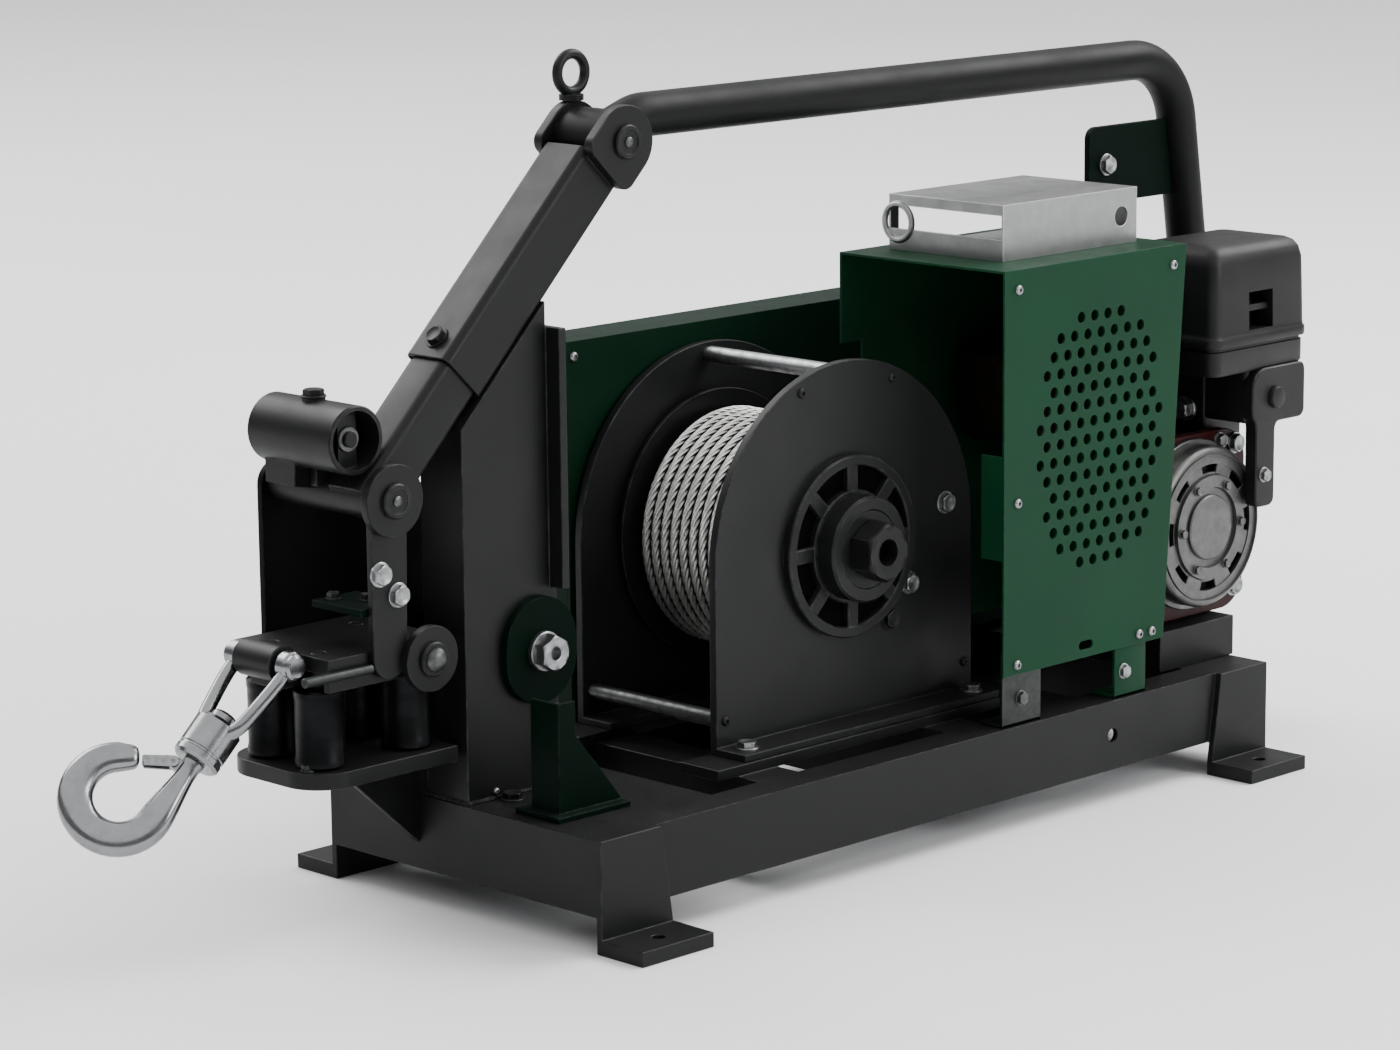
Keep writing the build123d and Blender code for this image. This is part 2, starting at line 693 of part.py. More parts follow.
def drum_plate_far():
    """The far side plate with the bearing boss welded to it."""
    boss_far = far_plate_out + FAR_CARRIER_LENGTH
    body = drum_plate(far_plate_in, far_plate_out, far_plate_in - STAND_FOOT_WIDTH)
    body += rod_y(DRUM_X, DRUM_Z, FAR_CARRIER_RADIUS, far_plate_out, boss_far)
    return body - rod_y(DRUM_X, DRUM_Z, SHAFT_RADIUS + RUNNING_CLEARANCE, far_plate_out, boss_far)


def stand_spot(angle):
    """A place under the round top of the drum side plates."""
    return around((DRUM_X, DRUM_Z), STAND_RADIUS - TIE_ROD_INSET, angle)


def low_rod_spots():
    """The places of the two low tie rods."""
    reach = STAND_RADIUS - TIE_ROD_INSET
    return [(DRUM_X + side * reach, bearer_top + TIE_ROD_RISE) for side in (-1, 1)]


def tie_rods():
    """The three bars between the drum side plates: one under the round top and two low."""
    spots = [stand_spot(TIE_ROD_ANGLE)] + low_rod_spots()
    return [rod_y(x, z, TIE_ROD_RADIUS, near_plate_in, far_plate_in) for x, z in spots]


def drum_bearing_near():
    """The spoked bearing carrier on the near plate."""
    flange_near = near_plate_out - CARRIER_FLANGE
    boss_near = flange_near - CARRIER_BOSS_LENGTH
    body = rod_y(DRUM_X, DRUM_Z, CARRIER_RADIUS, flange_near, near_plate_out)
    ring = Circle(CARRIER_WINDOW_OUTER) - Circle(CARRIER_WINDOW_INNER)
    spoke = Pos(CARRIER_RADIUS / 2, 0) * Rectangle(CARRIER_RADIUS, CARRIER_SPOKE)
    for index in range(CARRIER_WINDOWS):
        ring -= Rot(0, 0, index * 360 / CARRIER_WINDOWS) * spoke
    body -= slab_y(Pos(DRUM_X, DRUM_Z) * ring, flange_near, near_plate_out)
    body += rod_y(DRUM_X, DRUM_Z, CARRIER_BOSS_RADIUS, boss_near, near_plate_out)
    bore = SHAFT_RADIUS + RUNNING_CLEARANCE
    return body - rod_y(DRUM_X, DRUM_Z, bore, boss_near, near_plate_out)


# Drum and rope
def rope_spot(turn):
    """The rope's centre and its direction after a number of turns."""
    angle = 2 * math.pi * turn
    reach = ROPE_CENTRE_RADIUS * Vector(math.cos(angle), 0, math.sin(angle))
    spot = Vector(DRUM_X, rope_start_y + ROPE_PITCH * turn, DRUM_Z) + reach
    lap = 2 * math.pi * ROPE_CENTRE_RADIUS
    heading = Vector(-lap * math.sin(angle), ROPE_PITCH, lap * math.cos(angle))
    return spot, heading.normalized()


def biarc(start, start_dir, end, end_dir):
    """Two arcs that join two points smoothly in given directions."""
    span = end - start
    total = start_dir + end_dir
    a = 2 * (start_dir.dot(end_dir) - 1)
    b = -2 * span.dot(total)
    c = span.dot(span)
    reach = (-b - math.sqrt(b * b - 4 * a * c)) / (2 * a)
    first = start + start_dir * reach
    second = end - end_dir * reach
    joint = (first + second) * 0.5
    joint_dir = (second - first).normalized()
    return [TangentArc(start, joint, tangent=start_dir), TangentArc(joint, end, tangent=joint_dir)]


def rope_path():
    """The rope's centre line: straight ends of one diameter and quarter turn arcs between."""
    steps = round(ROPE_TURNS * 4)
    spots = [rope_spot(ROPE_TURNS * step / steps) for step in range(steps + 1)]
    first, first_dir = spots[0]
    last, last_dir = spots[-1]
    edges = [Line(first - first_dir * ROPE_DIAMETER, first)]
    for (start, start_dir), (end, end_dir) in zip(spots, spots[1:]):
        edges += biarc(start, start_dir, end, end_dir)
    edges.append(Line(last, last + last_dir * ROPE_DIAMETER))
    return Wire(edges)


def rope_winding(path):
    """The outer layer of rope as one tube."""
    start, start_dir = path.position_at(0), path.tangent_at(0)
    return sweep(Plane(origin=start, z_dir=start_dir) * Circle(rope_radius), path=path)


def rope_gap(path):
    """The least gap between neighbouring turns, measured on points of the centre line."""
    count = round(ROPE_TURNS * GAP_SAMPLES)
    spots = [path.position_at(index / count) for index in range(count + 1)]
    reach = GAP_SAMPLES // 10
    least = math.inf
    for index, spot in enumerate(spots):
        next_turn = index + GAP_SAMPLES
        for other in spots[next_turn - reach : next_turn + reach]:
            least = min(least, (other - spot).length)
    return least - ROPE_DIAMETER


def rope_clamp(spot, heading, flange_y):
    """The block that holds one end of the rope against a drum flange."""
    middle = spot + heading * (CLAMP_LENGTH / 2)
    inward = math.copysign(1, spot.Y - flange_y)
    grip_y = spot.Y + inward * CLAMP_GRIP
    root_y = flange_y - inward * DRUM_FLANGE_THICKNESS / 2
    shift = (root_y + grip_y) / 2 - spot.Y
    across = (Vector(0, 1, 0) - heading * heading.Y).normalized()
    plane = Plane(origin=middle + across * shift, z_dir=heading, x_dir=across)
    return plane * Box(abs(grip_y - root_y), CLAMP_HEIGHT, CLAMP_LENGTH)


def drum(path):
    """The drum: barrel, two flanges and the two rope clamps."""
    near_out = DRUM_NEAR_Y - DRUM_FLANGE_THICKNESS
    far_out = drum_far_y + DRUM_FLANGE_THICKNESS
    body = rod_y(DRUM_X, DRUM_Z, BARREL_RADIUS, near_out, far_out)
    body -= rod_y(DRUM_X, DRUM_Z, BARREL_RADIUS - BARREL_WALL, DRUM_NEAR_Y, drum_far_y)
    body += rod_y(DRUM_X, DRUM_Z, DRUM_FLANGE_RADIUS, near_out, DRUM_NEAR_Y)
    body += rod_y(DRUM_X, DRUM_Z, DRUM_FLANGE_RADIUS, drum_far_y, far_out)
    body += rope_clamp(path.position_at(0), -path.tangent_at(0), DRUM_NEAR_Y)
    body += rope_clamp(path.position_at(1), path.tangent_at(1), drum_far_y)
    return body - rod_y(DRUM_X, DRUM_Z, SHAFT_RADIUS, near_out, far_out)


def rope_core():
    """The rope layers under the outer one, as a plain sleeve."""
    body = rod_y(DRUM_X, DRUM_Z, core_radius, DRUM_NEAR_Y, drum_far_y)
    return body - rod_y(DRUM_X, DRUM_Z, BARREL_RADIUS, DRUM_NEAR_Y, drum_far_y)


def drum_shaft():
    """The drum shaft with the bored nut on its near end."""
    nut_far = shaft_nut_near + SHAFT_NUT_LENGTH
    body = rod_y(DRUM_X, DRUM_Z, SHAFT_RADIUS, shaft_nut_near, gear_far)
    nut = Pos(DRUM_X, DRUM_Z) * hexagon(SHAFT_NUT_FLATS)
    body += slab_y(nut, shaft_nut_near, nut_far - HUB_SIDE_GAP)
    bore_far = shaft_nut_near + SHAFT_BORE_DEPTH
    return body - rod_y(DRUM_X, DRUM_Z, SHAFT_BORE_RADIUS, shaft_nut_near, bore_far)


# Gear and belt drive
def gear_outline(teeth, turn):
    """A gear outline with straight flanks; turn points one tooth along an angle."""
    pitch = MODULE * teeth / 2
    tip = pitch + ADDENDUM * MODULE
    root = pitch - DEDENDUM * MODULE
    half = TOOTH_SHARE * math.pi * MODULE / 2
    slope = math.tan(math.radians(PRESSURE_ANGLE))
    half_tip = half - (tip - pitch) * slope
    half_root = half + (pitch - root) * slope
    corners = ((root, -half_root), (tip, -half_tip), (tip, half_tip), (root, half_root))
    points = []
    for tooth in range(teeth):
        middle = turn + 2 * math.pi * tooth / teeth
        for radius, width in corners:
            angle = middle + width / radius
            points.append((radius * math.cos(angle), radius * math.sin(angle)))
    return outline_of(points)


def bull_gear():
    """The large gear on the drum shaft."""
    body = slab_y(Pos(DRUM_X, DRUM_Z) * gear_outline(BULL_TEETH, mesh_angle), gear_near, gear_far)
    return body - rod_y(DRUM_X, DRUM_Z, SHAFT_RADIUS, gear_near, gear_far)


def pinion_shaft():
    """The cross shaft with its pinion, seat for the belt pulley and end collar."""
    turn = mesh_angle + math.pi + math.pi / PINION_TEETH
    body = slab_y(Pos(jack_x, jack_z) * gear_outline(PINION_TEETH, turn), gear_near, gear_far)
    collar_far = JACK_TUBE_START_Y - HUB_SIDE_GAP
    collar_near = collar_far - JACK_COLLAR_LENGTH
    body += rod_y(jack_x, jack_z, JACK_SHAFT_RADIUS, collar_near, pulley_far)
    return body + rod_y(jack_x, jack_z, JACK_COLLAR_RADIUS, collar_near, collar_far)


def pulley(x, z, radius, bore):
    """A pulley with one groove round it."""
    middle = (pulley_near + pulley_far) / 2
    body = rod_y(x, z, radius, pulley_near, pulley_far)
    half = PULLEY_GROOVE_WIDTH / 2
    groove = rod_y(x, z, radius, middle - half, middle + half)
    groove -= rod_y(x, z, radius - PULLEY_GROOVE_DEPTH, middle - half, middle + half)
    return body - groove - rod_y(x, z, bore, pulley_near, pulley_far)


def belt_loop(inset):
    """The outline round both pulleys at an inset from their rims."""
    large = Pos(jack_x, jack_z) * Circle(PULLEY_RADIUS - inset)
    small = Pos(CRANK_X, CRANK_Z) * Circle(ENGINE_PULLEY_RADIUS - inset)
    return make_hull((large + small).edges())


def drive_belt():
    """The belt between the engine pulley and the pinion shaft."""
    middle = (pulley_near + pulley_far) / 2
    band = belt_loop(belt_sunk) - belt_loop(belt_sunk + BELT_THICKNESS)
    return slab_y(band, middle - BELT_WIDTH / 2, middle + BELT_WIDTH / 2)


def gear_panel():
    """The green panel behind the drum with the bearing tube of the pinion shaft."""
    body = block(PANEL_START_X, PANEL_END_X, panel_near, panel_far, bearer_top, PANEL_TOP_Z)
    body -= rod_y(DRUM_X, DRUM_Z, FAR_CARRIER_RADIUS + PANEL_HOLE_MARGIN, panel_near, panel_far)
    body -= rod_y(CRANK_X, CRANK_Z, CRANK_RADIUS + PANEL_HOLE_MARGIN, panel_near, panel_far)
    tube_far = gear_near - HUB_SIDE_GAP
    body += rod_y(jack_x, jack_z, JACK_TUBE_RADIUS, JACK_TUBE_START_Y, tube_far)
    bore = JACK_SHAFT_RADIUS + RUNNING_CLEARANCE
    return body - rod_y(jack_x, jack_z, bore, JACK_TUBE_START_Y, tube_far)


def gear_cover():
    """The sheet cover over the gears and the belt."""
    ends = (PANEL_START_X, PANEL_END_X)
    body = block(*ends, panel_far, rail_half, base_top, PANEL_TOP_Z)
    inner = (PANEL_START_X + COVER_SHEET, PANEL_END_X - COVER_SHEET)
    far = rail_half - COVER_SHEET
    return body - block(*inner, panel_far, far, base_top, PANEL_TOP_Z - COVER_SHEET)


# Mast
def mast_column():
    """The hollow column under the boom with its rear edge flange."""

    def top_at(x):
        low = along_boom(0, BOOM_DEPTH / 2)
        return low[1] + (x - low[0]) * boom_dir[1] / boom_dir[0]

    def outline(x0, x1, drop):
        top_right, top_left = (x1, top_at(x1) - drop), (x0, top_at(x0) - drop)
        return outline_of(((x0, base_top), (x1, base_top), top_right, top_left))

    body = slab_y(outline(COLUMN_FRONT_X, COLUMN_REAR_X, 0), MAST_NEAR_Y, mast_far_y)
    inner = outline(COLUMN_FRONT_X + COLUMN_WALL, COLUMN_REAR_X - COLUMN_WALL, 2 * COLUMN_WALL)
    body -= slab_y(inner, MAST_NEAR_Y + COLUMN_WALL, mast_far_y - COLUMN_WALL)
    flange_end = COLUMN_REAR_X + COLUMN_FLANGE
    flange_near = MAST_NEAR_Y - COLUMN_FLANGE_OUT
    body += block(COLUMN_REAR_X, flange_end, flange_near, mast_far_y, base_top, COLUMN_FLANGE_TOP_Z)
    notch = MAST_BRACKET_HEIGHT / 2 + COLUMN_WALL
    notch_z = (ROPE_ROLLER[1] - notch, ROPE_ROLLER[1] + notch)
    body -= block(COLUMN_REAR_X, flange_end, flange_near, MAST_NEAR_Y, *notch_z)
    return body - rod_y(*ROPE_ROLLER, ROPE_AXLE_RADIUS, MAST_NEAR_Y, mast_far_y)


def boom_tube(start, end, depth, near, far):
    """A square tube along the boom with rounded corners."""
    body = slab_y(boom_strip(start, end, depth), near, far)
    body = fillet(body.edges().group_by(SortBy.LENGTH)[-1], BOOM_CORNER)
    inner = slab_y(boom_strip(start, end, depth - 2 * BOOM_WALL), near + BOOM_WALL, far - BOOM_WALL)
    return body - inner


def boom():
    """The upper boom tube with the two pivot ears."""
    body = boom_tube(boom_start, BOOM_END, BOOM_DEPTH, MAST_NEAR_Y, mast_far_y)
    round_end = Pos(*TOP_PIVOT) * Circle(EAR_RADIUS)
    flat_end = boom_strip(0, EAR_FLAT, 2 * EAR_RADIUS)
    corners = flat_end.vertices().sort_by(Axis((0, 0, 0), (*boom_dir, 0)))[-2:]
    ear = round_end + fillet(corners, EAR_CORNER) - Pos(*TOP_PIVOT) * Circle(TOP_PIN_RADIUS)
    near_ear = slab_y(ear, ear_near_y, MAST_NEAR_Y)
    far_ear = slab_y(ear, mast_far_y, ear_far_y)
    shank_x, shank_y = TOP_PIVOT[0], (mast_far_y + ear_far_y) / 2
    ear_top = TOP_PIVOT[1] + EAR_RADIUS
    far_ear -= rod_z(shank_x, shank_y, EYE_SHANK_RADIUS, ear_top - EYE_SHANK_DEPTH, ear_top)
    return body + near_ear + far_ear


def boom_arm():
    """The narrower lower boom that sits in the boom and on the cross tube."""
    near, far = arm_near_y, arm_far_y
    body = slab_y(boom_strip(BOOM_END - ARM_OVERLAP, boom_length, arm_depth), near, far)
    inner_depth = arm_depth - 2 * BOOM_WALL
    inner_end = boom_length - CROSS_TUBE_RADIUS - 2 * BOOM_WALL
    inner = boom_strip(BOOM_END - ARM_OVERLAP, inner_end, inner_depth)
    body -= slab_y(inner, near + BOOM_WALL, far - BOOM_WALL)
    return body - rod_y(*LOW_PIVOT, CROSS_TUBE_RADIUS, near, far)


# Roll bar
def bar_sweep(radius):
    """A round bar of any radius along the roll bar's centre line."""
    corners = (
        (TOP_PIVOT[0], TOP_PIVOT[1]),
        (BAR_NECK_X, BAR_AXIS_Z),
        (BAR_CORNER_X, BAR_AXIS_Z),
        (BAR_LEG_X, BAR_LEG_TOP_Z),
        (BAR_LEG_X, base_top),
    )
    points = [(x, mast_centre_y, z) for x, z in corners]
    path = FilletPolyline(*points, radius=(BAR_SMALL_BEND, BAR_BEND_RADIUS, BAR_LEG_BEND))
    return sweep(Plane(origin=path @ 0, z_dir=path % 0) * Circle(radius), path=path)


def roll_bar():
    """The tube over the winch with the hub at its front end."""
    hub = (MAST_NEAR_Y + HUB_SIDE_GAP, mast_far_y - HUB_SIDE_GAP)
    body = bar_sweep(BAR_RADIUS) - bar_sweep(BAR_RADIUS - BAR_WALL)
    body += rod_y(*TOP_PIVOT, HUB_RADIUS, *hub)
    return body - rod_y(*TOP_PIVOT, TOP_PIN_RADIUS, *hub)


def lifting_eye():
    """The ring on the far ear with its collar and shank."""
    x, y = TOP_PIVOT[0], (mast_far_y + ear_far_y) / 2
    ear_top = TOP_PIVOT[1] + EAR_RADIUS
    collar_top = ear_top + EYE_COLLAR_HEIGHT
    ring_z = collar_top + EYE_RING_RADIUS + EYE_WIRE_RADIUS / 2
    body = Pos(x, y, ring_z) * Rot(90, 0, 0) * Torus(EYE_RING_RADIUS, EYE_WIRE_RADIUS)
    body += rod_z(x, y, EYE_COLLAR_RADIUS, ear_top, collar_top)
    return body + rod_z(x, y, EYE_SHANK_RADIUS, ear_top - EYE_SHANK_DEPTH, ear_top)


def bar_bracket():
    """The green plate on the roll bar's leg."""
    near, far = mast_centre_y - BRACKET_SHEET / 2, mast_centre_y + BRACKET_SHEET / 2
    body = block(BRACKET_START_X, BAR_CORNER_X, near, far, BRACKET_BOTTOM_Z, BRACKET_TOP_Z)
    corners = body.edges().filter_by(Axis.Y).group_by(Axis.X)[0]
    return fillet(corners, BRACKET_CORNER) - bar_sweep(BAR_RADIUS)


# Lower pivot and nose
def cross_tube():
    """The round bar that carries the lower boom arm, from the link arm to the cheek."""
    body = rod_y(*LOW_PIVOT, CROSS_TUBE_RADIUS, arm_near_y, CHEEK_NEAR_Y)
    return body - rod_y(*LOW_PIVOT, PIVOT_BOLT_RADIUS, arm_near_y, arm_near_y + PIVOT_BOLT_DEPTH)


def pivot_discs():
    """The disc outside the link arm and the disc with its collar outside the nose."""
    low = rod_y(*LOW_PIVOT, LOW_DISC_RADIUS, disc_near_y, link_near_y)
    low -= rod_y(*LOW_PIVOT, PIVOT_BOLT_RADIUS, disc_near_y, link_near_y)
    nose = rod_y(*CROSS_SHAFT, NOSE_DISC_RADIUS, disc_near_y, link_near_y)
    nose += rod_y(*CROSS_SHAFT, NOSE_COLLAR_RADIUS, link_near_y, arm_near_y)
    nose -= rod_y(*CROSS_SHAFT, CROSS_SHAFT_RADIUS, disc_near_y, arm_near_y)
    return [low, nose]


def link_arm():
    """The flat link between the cross tube and the nose."""
    top = Pos(*LOW_PIVOT) * Circle(LINK_TOP_RADIUS)
    low = Pos(*LINK_FOOT) * Circle(LINK_LOW_RADIUS)
    outline = make_hull((top + low).edges()) - Pos(*LOW_PIVOT) * Circle(PIVOT_BOLT_RADIUS)
    return slab_y(outline, link_near_y, arm_near_y)


def far_cheek():
    """The plate that closes the far side of the nose."""
    front_end = -frame_half
    corners = (
        (CHEEK_FRONT_X, CHEEK_BOTTOM_Z),
        (front_end, CHEEK_BOTTOM_Z),
        (front_end, base_top),
        (CHEEK_REAR_X, base_top),
        (CHEEK_REAR_X, CHEEK_REAR_TOP_Z),
        (CHEEK_SLOPE_X, CHEEK_TOP_Z),
        (CHEEK_FRONT_X, CHEEK_TOP_Z),
    )
    far = CHEEK_NEAR_Y + CHEEK_THICKNESS
    body = slab_y(outline_of(corners), CHEEK_NEAR_Y, far)
    upper = body.edges().filter_by(Axis.Y).group_by(Axis.Z)[-1]
    body = fillet(upper.sort_by(Axis.X)[0], CHEEK_CORNER)
    body -= rod_y(*CROSS_SHAFT, CROSS_SHAFT_RADIUS, CHEEK_NEAR_Y, far)
    return body - rod_y(*ROPE_ROLLER, ROPE_AXLE_RADIUS, CHEEK_NEAR_Y, far)


def tie_plate():
    """The green plate behind the link arm."""
    top = TIE_PLATE_Z + TIE_PLATE_THICKNESS
    far = arm_near_y + TIE_PLATE_WIDTH
    return block(TIE_PLATE_START_X, TIE_PLATE_END_X, arm_near_y, far, TIE_PLATE_Z, top)


def shell_spot():
    """The axis of the guide shell, on top of the boom arm's end."""
    return along_boom(boom_length - SHELL_BACK, -shell_out)


def guide_shell():
    """The shell round the guide roller with its end caps, saddles and bolt pad."""
    far = shell_far_y
    spot = shell_spot()
    inner = SHELL_RADIUS - SHELL_WALL
    saddle_x = (spot[0] + LOW_PIVOT[0]) / 2
    cap_near = SHELL_NEAR_Y + SHELL_CAP_INSET
    body = rod_y(*spot, SHELL_RADIUS, SHELL_NEAR_Y, far)
    for y in SADDLE_SPOTS_Y:
        x0, x1 = saddle_x - SADDLE_HALF_WIDTH, saddle_x + SADDLE_HALF_WIDTH
        body += block(x0, x1, y, y + SADDLE_THICKNESS, LOW_PIVOT[1], spot[1])
    middle = (SHELL_NEAR_Y + far) / 2
    body += rod_z(spot[0], middle, SHELL_PAD_RADIUS, spot[1], spot[1] + SHELL_RADIUS + SHELL_PAD_RISE)
    body -= rod_y(*LOW_PIVOT, CROSS_TUBE_RADIUS, SHELL_NEAR_Y, far)
    body -= rod_y(*spot, inner, SHELL_NEAR_Y, cap_near)
    body -= rod_y(*spot, inner, cap_near + SHELL_CAP, far - SHELL_CAP)
    return body - rod_y(*spot, GUIDE_AXLE_RADIUS, SHELL_NEAR_Y, far)


def guide_roller():
    """The roller inside the guide shell."""
    near = SHELL_NEAR_Y + SHELL_CAP_INSET + SHELL_CAP + GUIDE_SIDE_GAP
    far = shell_far_y - SHELL_CAP - GUIDE_SIDE_GAP
    body = rod_y(*shell_spot(), GUIDE_ROLLER_RADIUS, near, far)
    return body - rod_y(*shell_spot(), GUIDE_AXLE_RADIUS + RUNNING_CLEARANCE, near, far)


def roller_spots():
    """The centres of the four upright rollers, in X and Y."""
    sides = (nose_centre_y - ROLLER_SPREAD, nose_centre_y + ROLLER_SPREAD)
    return [(x, y) for x in (ROLLER_FRONT_X, ROLLER_REAR_X) for y in sides]


def nose_bottom_plate():
    """The lower plate of the nose with the gusset under it."""
    body = block(NOSE_FRONT_X, NOSE_REAR_X, arm_near_y, CHEEK_NEAR_Y, NOSE_BOTTOM_Z, nose_top)
    body = fillet(upright_edges(body).group_by(Axis.X)[0], NOSE_CORNER)
    front, high = -frame_half, NOSE_BOTTOM_Z
    corners = ((front, high), (front - GUSSET_REACH, high), (front, high - GUSSET_DROP))
    near = nose_centre_y - GUSSET_THICKNESS / 2
    body += slab_y(outline_of(corners), near, near + GUSSET_THICKNESS)
    for x, y in roller_spots():
        body -= rod_z(x, y, ROLLER_PIN_RADIUS, NOSE_BOTTOM_Z, nose_top)
    return body


def nose_top_plate():
    """The upper plate of the nose with its skirts and the boss for the shackle pin."""
    near, far = arm_near_y, arm_near_y + NOSE_TOP_WIDTH
    front, rear = NOSE_TOP_FRONT_X, NOSE_TOP_REAR_X
    body = block(front, rear, near, far, nose_cap_bottom, nose_cap_top)
    body += block(front, rear, near, near + NOSE_SKIRT, skirt_bottom, nose_cap_bottom)
    body += block(front, rear, far - NOSE_SKIRT, far, skirt_bottom, nose_cap_bottom)
    neck = (nose_centre_y - NOSE_NECK_HALF, nose_centre_y + NOSE_NECK_HALF)
    body += block(HOOK_PIN[0], front + NOSE_SKIRT, *neck, skirt_bottom, nose_cap_top)
    boss = (nose_centre_y - NOSE_BOSS_HALF, nose_centre_y + NOSE_BOSS_HALF)
    body += rod_y(*HOOK_PIN, NOSE_BOSS_RADIUS, *boss)
    for x, y in roller_spots():
        body -= rod_z(x, y, ROLLER_PIN_RADIUS, skirt_bottom, nose_cap_top)
    body -= rod_y(*CROSS_SHAFT, CROSS_SHAFT_RADIUS, near, far)
    return body - rod_y(*HOOK_PIN, SHACKLE_PIN_RADIUS + RUNNING_CLEARANCE, *boss)


def upright_roller(x, y):
    """One upright roller of the nose."""
    body = rod_z(x, y, ROLLER_RADIUS, roller_bottom, roller_top)
    return body - rod_z(x, y, ROLLER_PIN_RADIUS + RUNNING_CLEARANCE, roller_bottom, roller_top)


def pivot_pins():
    """The fixed pins and axles of the mast and nose."""
    top = rod_y(*TOP_PIVOT, TOP_PIN_RADIUS, ear_near_y, ear_far_y)
    for near in (ear_near_y - PIN_HEAD_THICKNESS, ear_far_y):
        top += rod_y(*TOP_PIVOT, PIN_HEAD_RADIUS, near, near + PIN_HEAD_THICKNESS)
    bolt_far = arm_near_y + PIVOT_BOLT_DEPTH
    low = rod_y(*LOW_PIVOT, PIVOT_BOLT_RADIUS, disc_near_y, bolt_far)
    low += rod_y(*LOW_PIVOT, PIN_HEAD_RADIUS, disc_near_y - PIN_HEAD_THICKNESS, disc_near_y)
    cheek_far = CHEEK_NEAR_Y + CHEEK_THICKNESS
    cross = rod_y(*CROSS_SHAFT, CROSS_SHAFT_RADIUS, disc_near_y, cheek_far)
    cross += rod_y(*CROSS_SHAFT, PIN_HEAD_RADIUS, disc_near_y - PIN_HEAD_THICKNESS, disc_near_y)
    guide_near = SHELL_NEAR_Y + SHELL_CAP_INSET / 2
    guide = rod_y(*shell_spot(), GUIDE_AXLE_RADIUS, guide_near, shell_far_y)
    bracket_near = MAST_NEAR_Y - MAST_BRACKET_SHEET
    washer_near = bracket_near - AXLE_WASHER
    nut_near = washer_near - AXLE_NUT_LENGTH
    axle = rod_y(*ROPE_ROLLER, ROPE_AXLE_RADIUS, nut_near, cheek_far)
    axle += rod_y(*ROPE_ROLLER, AXLE_WASHER_RADIUS, washer_near, bracket_near)
    axle += slab_y(Pos(*ROPE_ROLLER) * hexagon(AXLE_NUT_FLATS), nut_near, washer_near)
    axle -= rod_y(*ROPE_ROLLER, AXLE_BORE_RADIUS, nut_near, nut_near + AXLE_BORE_DEPTH)
    side_y = arm_near_y - SIDE_ROD_RADIUS
    side_z = CROSS_SHAFT[1]
    side = rod_x(side_y, side_z, SIDE_ROD_RADIUS, SIDE_ROD_START_X, SIDE_ROD_END_X)
    uprights = [rod_z(x, y, ROLLER_PIN_RADIUS, NOSE_BOTTOM_Z, nose_cap_top) for x, y in roller_spots()]
    return [top, low, cross, guide, axle, side] + uprights


def mast_bracket():
    """The green plate on the column that holds the rope roller's axle."""
    outline = SlotOverall(MAST_BRACKET_HEIGHT, 2 * MAST_BRACKET_RADIUS, rotation=90)
    outline -= Circle(ROPE_AXLE_RADIUS)
    near = MAST_NEAR_Y - MAST_BRACKET_SHEET
    return slab_y(Pos(*ROPE_ROLLER) * outline, near, MAST_NEAR_Y)


def rope_roller():
    """The roller that lifts the rope behind the column."""
    near, far = mast_far_y + ROPE_ROLLER_GAP, CHEEK_NEAR_Y - ROPE_ROLLER_GAP
    body = rod_y(*ROPE_ROLLER, ROPE_ROLLER_RADIUS, near, far)
    return body - rod_y(*ROPE_ROLLER, ROPE_AXLE_RADIUS + RUNNING_CLEARANCE, near, far)


def corner_leg():
    """The green angle post with its gusset and base plate."""
    x0 = -frame_half + LEG_FRONT_INSET
    x1 = x0 + LEG_WIDTH
    gusset_end = x1 + LEG_GUSSET
    y0, y1 = LEG_NEAR_Y, LEG_NEAR_Y + LEG_DEPTH
    bottom, top = base_top + LEG_BASE_THICKNESS, base_top + LEG_HEIGHT
    body = block(x0, x1, y0, y0 + LEG_SHEET, bottom, top)
    body += block(x0, x0 + LEG_SHEET, y0, y1, bottom, top)
    corners = ((x1, bottom), (gusset_end, bottom), (x1, bottom + LEG_GUSSET_RISE))
    body += slab_y(outline_of(corners), y0, y0 + LEG_SHEET)
    margin = LEG_BASE_MARGIN
    return body + block(x0 - margin, gusset_end, y0 - margin, y1 + margin, base_top, bottom)


# Hook set, drawn in frames whose x runs along the hook from the shackle pin
def hook_rod(radius, start, end):
    """A round bar along the hook's axis."""
    return shackle_frame * (Pos((start + end) / 2, 0, 0) * Rot(0, 90, 0) * Cylinder(radius, end - start))


def cross_rod(frame, x, y, radius, z0, z1):
    """A round bar across a frame."""
    return frame * (Pos(x, y, (z0 + z1) / 2) * Cylinder(radius, z1 - z0))


